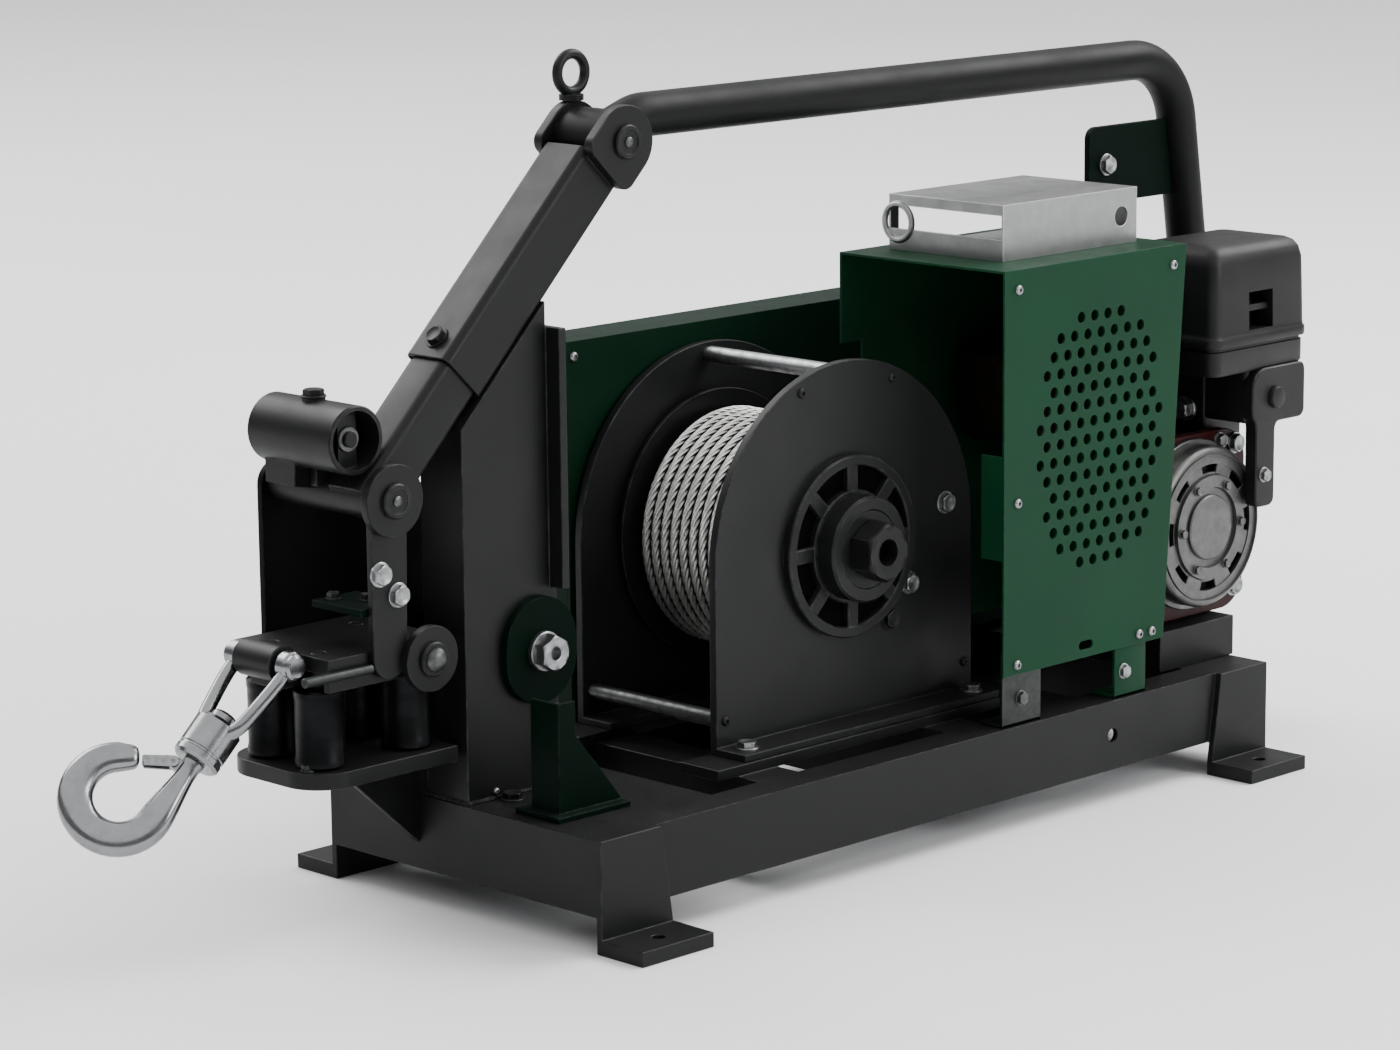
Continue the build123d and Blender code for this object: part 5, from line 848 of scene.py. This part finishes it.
def build_bolts():
    """The hexagon bolts, plated and blackened."""
    groups = (("plated_bolts", BRIGHT_BOLTS, "bright_steel"), ("black_bolts", DARK_BOLTS, "black_paint"))
    for name, spots, finish in groups:
        bm = bmesh.new()
        for origin, axis in spots:
            hex_bolt(bm, frame_at(origin, axis))
        add_piece(name, bm, finish, ("hex_bolts",), slot="bright_steel")


def build_screws():
    """The plated screws of the guard and panel, and the black ones of the near plate."""
    plated = bmesh.new()
    for spot in GUARD_SCREWS:
        pan_screw(plated, near_place(spot, GUARD_NEAR_Y))
    pan_screw(plated, near_place(PANEL_SCREW, PANEL_NEAR_Y))
    add_piece("plated_screws", plated, "bright_steel", ("round_screws",))
    spots = [around(DRUM_SPOT, TIE_ROD_REACH, angle) for angle in PLATE_SCREW_ANGLES]
    spots += [(DRUM_X + side * TIE_ROD_REACH, TIE_ROD_LOW_Z) for side in (-1, 1)]
    black = bmesh.new()
    for spot in spots:
        pan_screw(black, near_place(spot, NEAR_PLATE_Y))
    add_piece("black_screws", black, "black_paint", ("round_screws",), slot="bright_steel")


# Nose: upright rollers, and the hook set
def build_roller(name, spot):
    """One upright roller with collars at its ends."""
    place = frame_at((*spot, ROLLER_BOTTOM_Z), UP)
    length = ROLLER_TOP_Z - ROLLER_BOTTOM_Z
    radius, waist = ROLLER_RADIUS, ROLLER_RADIUS - 0.8
    half = ((ROLLER_BORE, 0), (radius - 2, 0), (radius, 2), (radius, 9), (waist, 10.5))
    bm = bmesh.new()
    turned_ring(bm, place, mirrored(half, length))
    node = f"{name}_roller"
    add_piece(f"{name}_turned_roller", bm, "roller_steel", (node,), body=f"{name}_fairlead")


droop = radians(HOOK_DROOP)
shackle_place = axes_at(HOOK_PIN, (-cos(droop), 0, -sin(droop)), (-sin(droop), 0, cos(droop)))
hook_place = shackle_place @ Matrix.Rotation(radians(HOOK_TURN), 4, "X")
hook_turning = hook_place @ axes_at((0, 0, 0), (0, 1, 0), (0, 0, 1))


def build_shackle():
    """The shackle: a bent bar with round eyes and a grooved swivel barrel."""
    bm = bmesh.new()
    side = [(8, SHACKLE_SPREAD), (SHACKLE_SHOULDER, SHACKLE_SPREAD), (SHACKLE_CROWN, SHACKLE_CROWN_HALF)]
    corners = side + [(x, -z) for x, z in reversed(side)]
    path = rounded_path([shackle_place @ Vector((x, 0, z)) for x, z in corners], SHACKLE_BEND)
    sweep_wire(bm, path, SHACKLE_WIRE)
    bore = SHACKLE_PIN_RADIUS
    eye, half = SHACKLE_EYE_RADIUS, SHACKLE_EYE_HALF
    profile = mirrored(((bore, -half), (eye - 2.5, -half), (eye, 2.5 - half)))
    for end in (-SHACKLE_SPREAD, SHACKLE_SPREAD):
        turned_ring(bm, shackle_place @ Matrix.Translation((0, 0, end)), profile, 36)
    bore = SHANK_RADIUS + 0.1
    radius = SWIVEL_RADIUS
    start, end = SWIVEL_START, SWIVEL_END
    barrel = (
        (bore, start), (radius - 4, start), (radius, start + 4), (radius, end - 13),
        (radius - 1.2, end - 12), (radius - 1.2, end - 10), (radius, end - 9), (radius, end - 3),
        (radius - 3, end), (bore, end),
    )
    turned_ring(bm, hook_turning, barrel)
    add_piece("forged_shackle", bm, "forged_steel", ("shackle",), body="hook_shackle")


def build_shackle_pin():
    """The pin with its button heads."""
    bm = bmesh.new()
    reach = SHACKLE_SPREAD + SHACKLE_EYE_HALF
    radius = SHACKLE_PIN_RADIUS - 0.1
    button = ((0, -reach - 5), (10, -reach - 5), (13, -reach - 2.5), (13, -reach), (radius, -reach))
    lathe(bm, shackle_place, mirrored(button), 36)
    add_piece("shackle_pin_and_buttons", bm, "forged_steel", ("shackle_pin",), body="hook_shackle")


def forged_ring(centre, outward, half_width, half_depth):
    """A rounded oval section of the hook, in the hook's own frame."""
    points = []
    for step in range(28):
        turn = tau * step / 28
        across, deep = cos(turn), sin(turn)
        fuller = (abs(across) ** 2.5 + abs(deep) ** 2.5) ** (-1 / 2.5)
        spot = Vector(centre) + Vector(outward) * (half_width * fuller * across)
        points.append(hook_place @ (spot + Vector((0, 0, half_depth * fuller * deep))))
    return points


def build_hook():
    """The forged hook with its shank, shank head and latch lug."""
    neck = (
        (SWIVEL_END + 0.5, 11, 11), (132, 11, 11), (135, 9.6, 9.6), (146, 10, 9.8), (160, 11.8, 10.6),
        (176, 14.4, 11.6), (190, 16.4, 12),
    )
    rings = [forged_ring((x, 0, 0), (0, -1, 0), *halves) for x, *halves in neck]
    bowl_steps = 26
    for step in range(bowl_steps + 1):
        angle = radians(-90 + (HOOK_TIP_ANGLE + 90) * step / bowl_steps)
        outward = Vector((cos(angle), sin(angle), 0))
        centre = Vector((HOOK_BOWL_CENTRE, HOOK_BOWL_RADIUS, 0)) + outward * HOOK_BOWL_RADIUS
        share = step / bowl_steps
        taper = max(0, share - 0.6) / 0.4
        half_width = 17 + 0.8 * sin(pi * share) - 2.2 * taper
        rings.append(forged_ring(centre, outward, half_width, 12 - 0.8 * taper))
    heading = Vector((-outward.y, outward.x, 0))
    tip = (
        (6, 13.6, 10.6), (12, 12.6, 9.8), (16, 11.4, 9), (18.2, 9.4, 7.4), (19.4, 6.5, 5.2), (20, 3, 2.4),
    )
    rings += [forged_ring(centre + heading * reach, outward, *halves) for reach, *halves in tip]
    bm = bmesh.new()
    loft(bm, rings)
    start = SHANK_HEAD_START
    shank = (
        (0, start), (11, start), (14, start + 3), (14, SWIVEL_START - 0.5),
        (SHANK_RADIUS, SWIVEL_START - 0.5), (SHANK_RADIUS, SWIVEL_END + 2), (0, SWIVEL_END + 2),
    )
    lathe(bm, hook_turning, shank, 36)
    x = LATCH_PIVOT[0]
    lug = [(x - 7, 4), (x + 7, 4)] + arc(LATCH_PIVOT, 6, 0, 180)
    prism(bm, hook_place, lug, -4.5, 4.5, 0.8)
    add_piece("forged_hook", bm, "forged_steel", ("hook",), body="swivel_hook")


def build_latch():
    """The latch: two cheeks, a web and a pin."""
    aim = radians(HOOK_TIP_ANGLE - 90)
    place = hook_place @ Matrix.Translation((*LATCH_PIVOT, 0)) @ Matrix.Rotation(aim, 4, "Z")
    half = 5.5
    end = LATCH_LENGTH
    cheek = [(end - 2, -half + 1), (end, 0), (end - 2, half)] + arc((0, 0), half, 90, 270)
    bm = bmesh.new()
    for low, high in ((-8, -5), (5, 8)):
        prism(bm, place, cheek, low, high, 0.5)
    web = [(7, half - 3), (end, half - 4), (end, half - 0.6), (end - 1, half), (7, half)]
    prism(bm, place, web, -7.8, 7.8, 0.4)
    lathe(bm, place, mirrored(((0, -8), (2.4, -8))), 20)
    add_piece("pressed_latch", bm, "bright_steel", ("hook_latch",), body="latch")


# Lower boom arm and the guide shell at its foot
def build_arm():
    """The lower boom arm: a tube with round corners."""
    length = dist(TOP_PIVOT, LOW_PIVOT)
    half = ARM_HALF_DEPTH
    corners = ((-half, ARM_NEAR_Y), (half, ARM_NEAR_Y), (half, ARM_FAR_Y), (-half, ARM_FAR_Y))
    place = axes_at((TOP_PIVOT[0], 0, TOP_PIVOT[1]), BOOM_NORMAL, (0, 1, 0))
    bm = bmesh.new()
    prism(bm, place, rounded_outline(corners, ARM_CORNER), ARM_START, length + 12, 1)
    add_piece("round_cornered_arm", bm, "black_paint", ("boom_arm",))


def build_guide_shell():
    """The guide shell: a tube with a strap in its open end, saddles, a web and a bolt pad."""
    x, z = SHELL_SPOT
    outer, inner, length = SHELL_RADIUS, SHELL_RADIUS - SHELL_WALL, SHELL_LENGTH
    bm = bmesh.new()
    tube = (
        (inner, 0), (outer - 1.5, 0), (outer, 1.5), (outer, length - 1.5), (outer - 1.5, length),
        (8.2, length), (8.2, length - 6), (inner, length - 6),
    )
    turned_ring(bm, frame_at((x, SHELL_NEAR_Y, z), FAR), tube)
    strap_y = SHELL_NEAR_Y + 14
    rounded_block(bm, (x - 12, strap_y, z - inner - 1), (x + 12, strap_y + 6, z + inner + 1))
    middle = (x + LOW_PIVOT[0]) / 2
    for y in SADDLE_SPOTS_Y:
        rounded_block(bm, (middle - 16, y, LOW_PIVOT[1] + 8), (middle + 16, y + 10, z - inner - 1))
    low, high = z + inner + 2, SHELL_PAD_Z
    pad = ((0, low), (12, low), (12, high - 1), (11, high), (0, high))
    lathe(bm, frame_at((x, SHELL_MIDDLE_Y, 0), UP), pad, 36)
    front_web(bm)
    add_piece("open_guide_shell", bm, "black_paint", ("guide_shell",))
    washer = bmesh.new()
    ring = ((8.2, 0), (12.2, 0), (13, 0.8), (13, 2.2), (12.2, 3), (8.2, 3))
    turned_ring(washer, near_place(SHELL_SPOT, strap_y), ring, 40)
    add_piece("guide_axle_washer", washer, "rod_steel")


def front_web(bm):
    """The web between the guide shell and the cross tube."""
    tube_x, tube_z = LOW_PIVOT
    on_shell = [around(SHELL_SPOT, SHELL_RADIUS - 2, angle) for angle in (310, 290, 270, 250, 232)]
    front = on_shell[-1][0]
    outline = [(front, tube_z + 9), (tube_x, tube_z), (tube_x + 10, tube_z + 18)] + on_shell
    near, far = SHELL_PLATE_Y
    place = axes_at((0, far, 0), (1, 0, 0), (0, 0, 1))
    prism(bm, place, outline, 0, far - near, 1)


# Fixed pins of the mast and nose
def round_bar(bm, start, end, radius):
    """A round bar between two points with chamfered ends."""
    start, end = Vector(start), Vector(end)
    length = (end - start).length
    half = ((0, 0), (radius - BAR_EDGE, 0), (radius, BAR_EDGE))
    lathe(bm, frame_at(start, end - start), mirrored(half, length), 36)


def bar_y(bm, spot, radius, near, far):
    """A round bar along Y at a spot in X and Z."""
    round_bar(bm, (spot[0], near, spot[1]), (spot[0], far, spot[1]), radius)


def build_pins():
    """The black pins and axles with heads and nubs, the column's screw and the dull side rod."""
    bm = bmesh.new()
    bar_y(bm, TOP_PIVOT, PIVOT_RADIUS, DISC_NEAR_Y, TOP_PIN_FAR_Y)
    bar_y(bm, TOP_PIVOT, PIN_HEAD_RADIUS, TOP_PIN_FAR_Y - 2, TOP_PIN_FAR_Y + 3)
    bar_y(bm, LOW_PIVOT, LOW_PIN_RADIUS, DISC_NEAR_Y, SHORT_PIN_FAR_Y)
    bar_y(bm, CROSS_SHAFT, PIVOT_RADIUS, DISC_NEAR_Y, SHORT_PIN_FAR_Y)
    wide = PIN_HEAD_RADIUS
    head = ((0, 0), (wide, 0), (wide, 3.5), (wide - 1.5, 5), (13, 5), (12, 3.4), (6, 3.4), (0, 3.4))
    nub = ((0, 3), (5.5, 3), (5.5, 4.6), (3.5, 6), (0, 6.4))
    dome = ((0, 3), (13, 3), (13, 6), (11.5, 9), (8, 11.5), (4, 12.6), (0, 13))
    nubs = bmesh.new()
    for spot, face in ((TOP_PIVOT, EAR_NEAR_Y), (LOW_PIVOT, DISC_NEAR_Y), (CROSS_SHAFT, DISC_NEAR_Y)):
        place = near_place(spot, face)
        lathe(bm, place, head, 40)
        lathe(nubs, place, dome if spot == CROSS_SHAFT else nub, 32)
    add_piece("pin_nubs", nubs, "rod_steel")
    screw = bmesh.new()
    pan_screw(screw, near_place(COLUMN_SCREW, MAST_NEAR_Y), 4, 3)
    add_piece("column_screw", screw, "bright_steel")
    bar_y(bm, CROSS_SHAFT, PIVOT_RADIUS, SHORT_PIN_FAR_Y - 1, CHEEK_FAR_Y)
    bar_y(bm, SHELL_SPOT, AXLE_RADIUS, SHELL_NEAR_Y + 7, SHELL_NEAR_Y + SHELL_LENGTH)
    bar_y(bm, ROPE_ROLLER, PIVOT_RADIUS, ROPE_AXLE_NEAR_Y, CHEEK_FAR_Y)
    for x, y in ROLLER_SPOTS.values():
        round_bar(bm, (x, y, ROLLER_PIN_Z[0]), (x, y, ROLLER_PIN_Z[1]), AXLE_RADIUS)
    add_piece("pins_and_axles", bm, "black_paint", ("pivot_pins",), slot="bright_steel")
    rod = bmesh.new()
    start, end = SIDE_ROD_X
    level = CROSS_SHAFT[1]
    round_bar(rod, (start, SIDE_ROD_Y, level), (end, SIDE_ROD_Y, level), SIDE_ROD_RADIUS)
    add_piece("side_rod", rod, "dull_steel", ("pivot_pins",))


def build_axle_nut():
    """The plated nut and washer of the rope roller's axle."""
    nut = bmesh.new()
    far = AXLE_NUT_NEAR_Y + AXLE_NUT_LENGTH
    place = near_place(ROPE_ROLLER, far)
    lathe(nut, place, ((0, -7), (20, -7), (21, -6), (21, -1), (20, 0), (0, 0)), 40)
    top = AXLE_NUT_LENGTH
    dish = ((AXLE_BORE_RADIUS + 3, top), (AXLE_BORE_RADIUS, top - 1), (AXLE_BORE_RADIUS, 3), (0, 3))
    hex_solid(nut, place, AXLE_NUT_FLATS, top, dish)
    add_piece("axle_nut", nut, "bright_steel", ("pivot_pins",))


# Engine: fan cover, air cleaner, intake and small fasteners
def build_fan_cover():
    """The cast fan cover: a rim, a wall, spokes, a raised ring with bolts and a smooth hub."""
    place = near_place(FAN_CENTRE, SHROUD_NEAR_Y)
    bm = bmesh.new()
    rim, wall, deep = FAN_RIM_RADIUS, FAN_COVER_RADIUS, FAN_DEPTH
    shell = (
        (wall - 5, 0), (rim, 0), (rim, 5), (rim - 1, 6), (wall, 6), (wall, deep - 6), (wall - 2, deep - 2),
        (wall - 6, deep), (74, deep), (74, deep - 5), (wall - 5, deep - 5),
    )
    turned_ring(bm, place, shell, 72)
    hub = ((0, deep - 6), (38, deep - 6), (38, deep + 1), (36.5, deep + 2.5), (0, deep + 2.5))
    lathe(bm, place, hub, 48)
    turned_ring(bm, place, ((36, deep - 6), (64, deep - 6), (64, deep - 2), (36, deep - 2)), 72)
    for inner, outer in ((46, 62), (84, 87)):
        ring = ((inner, deep - 3), (outer, deep - 3), (outer - 1.2, deep + 2.4), (inner + 1.2, deep + 2.4))
        turned_ring(bm, place, ring, 72)
    spoke = ((61, -13), (77, -15), (77, 15), (61, 13))
    for index in range(8):
        turn = Matrix.Rotation(tau * (index + 0.5) / 8, 4, "Z")
        prism(bm, place @ turn, spoke, deep - 6, deep - 1, 0.8)
    for index in range(6):
        spot = around((0, 0), 53, 60 * index)
        hex_bolt(bm, place @ Matrix.Translation((*spot, deep + 2.4)), 9, 5)
    add_piece("cast_fan_cover", bm, "engine_aluminium", ("fan_cover",))


def box_ring(low, high, corner, level, window):
    """A rounded rectangle at a level, with points at a window's edges on its near side."""
    middles = (
        (low.x + corner, low.y + corner, 180), (high.x - corner, low.y + corner, 270),
        (high.x - corner, high.y - corner, 0), (low.x + corner, high.y - corner, 90),
    )
    points = []
    for index, (x, y, start) in enumerate(middles):
        points += [Vector((*spot, level)) for spot in arc((x, y), corner, start, start + 90)]
        if index == 0:
            points += [Vector((edge, low.y, level)) for edge in window]
    return points


def build_air_cleaner():
    """The air cleaner: a domed lid with a recessed window over a base with a seam."""
    x, z = CLEANER_WINDOW
    half = CLEANER_WINDOW_HALF
    window = (x - half, x + half)
    low, high = CLEANER_LOW, CLEANER_HIGH
    base, seam, top = CLEANER_BASE_Z, CLEANER_SEAM_Z, high.z
    levels = (
        (base, 6), (base + 4, 3), (seam - 5, 3), (seam - 4, 5), (seam - 1, 5), (seam, 1),
        (seam + 2, 0), (seam + 10, 0), (seam + 12, 1.5), (z - half, 2), (z + half, 3),
        (top - 24, 4), (top - 12, 7), (top - 5, 12), (top - 1.5, 19), (top, 30),
    )
    rings = []
    for level, back in levels:
        inset_by = Vector((back, back, 0))
        rings.append(box_ring(low + inset_by, high - inset_by, max(16 - back / 3, 8), level, window))
    bm = bmesh.new()
    loft(bm, rings)
    middle = Vector((x, low.y + 2.5, z))
    face = min(bm.faces, key=lambda face: (face.calc_center_median() - middle).length)
    made = bmesh.ops.extrude_discrete_faces(bm, faces=[face])["faces"][0]
    bmesh.ops.translate(bm, verts=made.verts, vec=(0, 30, 0))
    rounded_block(bm, (x - half + 1, low.y + 9, z - 2), (x + half - 1, low.y + 14, z + 6), 2)
    add_piece("moulded_air_cleaner", bm, "black_plastic", ("air_cleaner",))


DUCT_BOLT = (552, 334)
DUCT_KNOB = (572, 423)
CARBURETTOR_NUT = (530, -88, 404)
SHROUD_BOLT = (531, 372)


def build_duct():
    """The intake: a rounded body with a front leg under the air cleaner, and the carburettor."""
    outline = (
        (538, 296), (573, 296), (573, DUCT_BOTTOM_Z), (628, DUCT_BOTTOM_Z), (628, CLEANER_BASE_Z + 2),
        (545, CLEANER_BASE_Z + 2), (530, 446), (530, 404), (538, 396),
    )
    bm = bmesh.new()
    leg_depth = 17
    place = axes_at((0, DUCT_NEAR_Y + leg_depth, 0), (1, 0, 0), (0, 0, 1))
    prism(bm, place, rounded_outline(outline, 11), 0, leg_depth, 1.5)
    rounded_block(bm, (532, DUCT_NEAR_Y + 12, DUCT_BOTTOM_Z), (626, -110, CLEANER_BASE_Z + 2), 5)
    rounded_block(bm, (530, -114, CARBURETTOR_BOTTOM_Z), (600, -20, CLEANER_BASE_Z + 2), 4)
    add_piece("moulded_intake", bm, "black_plastic", ("intake_duct",))


def build_engine_fasteners():
    """The duct's knob and bolt, the carburettor's nut and the shroud's upper bolt."""
    bm = bmesh.new()
    hex_bolt(bm, near_place(DUCT_BOLT, DUCT_NEAR_Y), 13, 7)
    hex_bolt(bm, frame_at(CARBURETTOR_NUT, (-1, 0, 0)), 22, 16)
    hex_bolt(bm, near_place(SHROUD_BOLT, SHROUD_NEAR_Y), 14, 9)
    add_piece("duct_bolt", bm, "bright_steel")
    knob = bmesh.new()
    profile = ((0, 0), (13, 0), (13, 4), (11.5, 6), (6, 7), (0, 7))
    lathe(knob, near_place(DUCT_KNOB, DUCT_NEAR_Y), profile, 36)
    add_piece("duct_knob", knob, "black_plastic")


# Brackets under the guard: name, ends in X, bolt's X, finish and bolt's finish
GUARD_BRACKETS = (
    ("left_guard_bracket", (82, 146), 112, "dull_steel", "rod_steel"),
    ("right_guard_bracket", (273, 327), 288, "green_paint", "bright_steel"),
)
BRACKET_SHEET = 4
BRACKET_NEAR_Y = -196
BRACKET_FAR_Y = -162
BRACKET_TOP_Z = 202
BRACKET_BOLT_Z = 148


def build_guard_bracket(name, ends, bolt_x, finish, bolt_finish):
    """One angle bracket with its bolt."""
    start, end = ends
    near, sheet = BRACKET_NEAR_Y, BRACKET_SHEET
    bm = bmesh.new()
    rounded_block(bm, (start, near, BASE_TOP_Z), (end, near + sheet, BRACKET_TOP_Z), 0.8)
    rounded_block(bm, (start, near, BASE_TOP_Z), (end, BRACKET_FAR_Y, BASE_TOP_Z + sheet), 0.8)
    add_piece(name, bm, finish, ("guard_brackets",), slot="bright_steel")
    bolt = bmesh.new()
    hex_bolt(bolt, near_place((bolt_x, BRACKET_BOLT_Z), near), 13, 6)
    add_piece(f"{name}_bolt", bolt, bolt_finish)


# Small bolts of the nose plates
NOSE_BOLTS = ((-648, 58, 344), (-629, 28, 344), (-560, 48, 183), (-713, 27, 183))


def build_nose_bolts():
    """The bolts on the tie plate and on the nose's bottom plate."""
    bm = bmesh.new()
    for origin in NOSE_BOLTS:
        hex_bolt(bm, frame_at(origin, UP), 12, 7)
    add_piece("nose_bolts", bm, "dull_steel")


# Weld round the mast column's foot
def build_weld():
    """The painted bead."""
    bm = bmesh.new()
    near, far = MAST_NEAR_Y, 2 * MAST_CENTRE_Y - MAST_NEAR_Y
    front, rear = COLUMN_X
    level = BASE_TOP_Z + 1
    loop = [(front, near), (rear, near), (rear, far), (front, far), (front, near)]
    weld_bead(bm, [Vector((x, y, level)) for x, y in loop], 3.2)
    add_piece("column_weld", bm, "black_paint")


build_rope()
build_carrier()
build_shaft()
build_tie_rods()
build_bolts()
build_screws()
for roller_name, roller_spot in ROLLER_SPOTS.items():
    build_roller(roller_name, roller_spot)
build_shackle()
build_shackle_pin()
build_hook()
build_latch()
build_arm()
build_guide_shell()
build_pins()
build_axle_nut()
build_fan_cover()
build_air_cleaner()
build_duct()
build_engine_fasteners()
for bracket in GUARD_BRACKETS:
    build_guard_bracket(*bracket)
build_nose_bolts()
build_weld()


# Stage: pale floor, soft light and the photograph's camera
def build_floor():
    """A wide pale floor."""
    bm = bmesh.new()
    bmesh.ops.create_grid(bm, x_segments=1, y_segments=1, size=60.0 / MM)
    floor = new_object("floor", bm)
    material, tree, main, coords = shader("floor")
    cloud = remap(tree, noise(tree, coords, 0.8), 0.3, 0.7)
    color = mix_colors(tree, cloud, (0.80, 0.80, 0.81), (0.83, 0.83, 0.84))
    tree.links.new(color, main.inputs["Base Color"])
    main.inputs["Roughness"].default_value = 0.8
    floor.data.materials.append(material)


def aimed_object(name, data, location, aim):
    """A light or camera at a location that looks along a direction."""
    made = bpy.data.objects.new(name, data)
    made.location = location
    made.rotation_mode = "QUATERNION"
    made.rotation_quaternion = aim.to_track_quat("-Z", "Y")
    scene.collection.objects.link(made)
    return made


def area_light(name, location, target, size, power):
    """A square soft light that faces a target."""
    data = bpy.data.lights.new(name, "AREA")
    data.size = size
    data.energy = power
    aimed_object(name, data, location, Vector(target) - Vector(location))


# Name, place, target, size and power of each soft light, in metres and watts
LIGHTS = (
    ("top_light", (0, 0, 12), (0, 0, 0), 40, 6800),
    ("back_light", (-0.4, 7.5, 6.5), (0, 0, 0.4), 6, 700),
    ("right_light", (4.6, -1.6, 4.8), (0, 0, 0.4), 4, 480),
    ("side_light", (1.6, -5.2, 2.4), (0, 0, 0.4), 2.4, 170),
)


def build_light():
    """A pale surround and the soft lights."""
    world = bpy.data.worlds.new("surround")
    world.use_nodes = True
    surround = world.node_tree.nodes["Background"]
    surround.inputs["Color"].default_value = (0.93, 0.94, 0.97, 1.0)
    surround.inputs["Strength"].default_value = 0.35
    scene.world = world
    for light in LIGHTS:
        area_light(*light)


def build_camera():
    """The camera of the photograph."""
    data = bpy.data.cameras.new("camera")
    data.sensor_width = SENSOR_WIDTH
    data.lens = FOCAL_PIXELS / IMAGE_WIDTH * SENSOR_WIDTH
    azimuth, elevation = radians(CAMERA_AZIMUTH), radians(CAMERA_ELEVATION)
    level = cos(elevation)
    back = Vector((sin(azimuth) * level, -cos(azimuth) * level, sin(elevation)))
    camera = aimed_object("camera", data, CAMERA_TARGET + back * CAMERA_DISTANCE, -back)
    camera.rotation_quaternion @= Quaternion((0, 0, 1), radians(CAMERA_ROLL))
    scene.camera = camera


build_floor()
build_light()
build_camera()
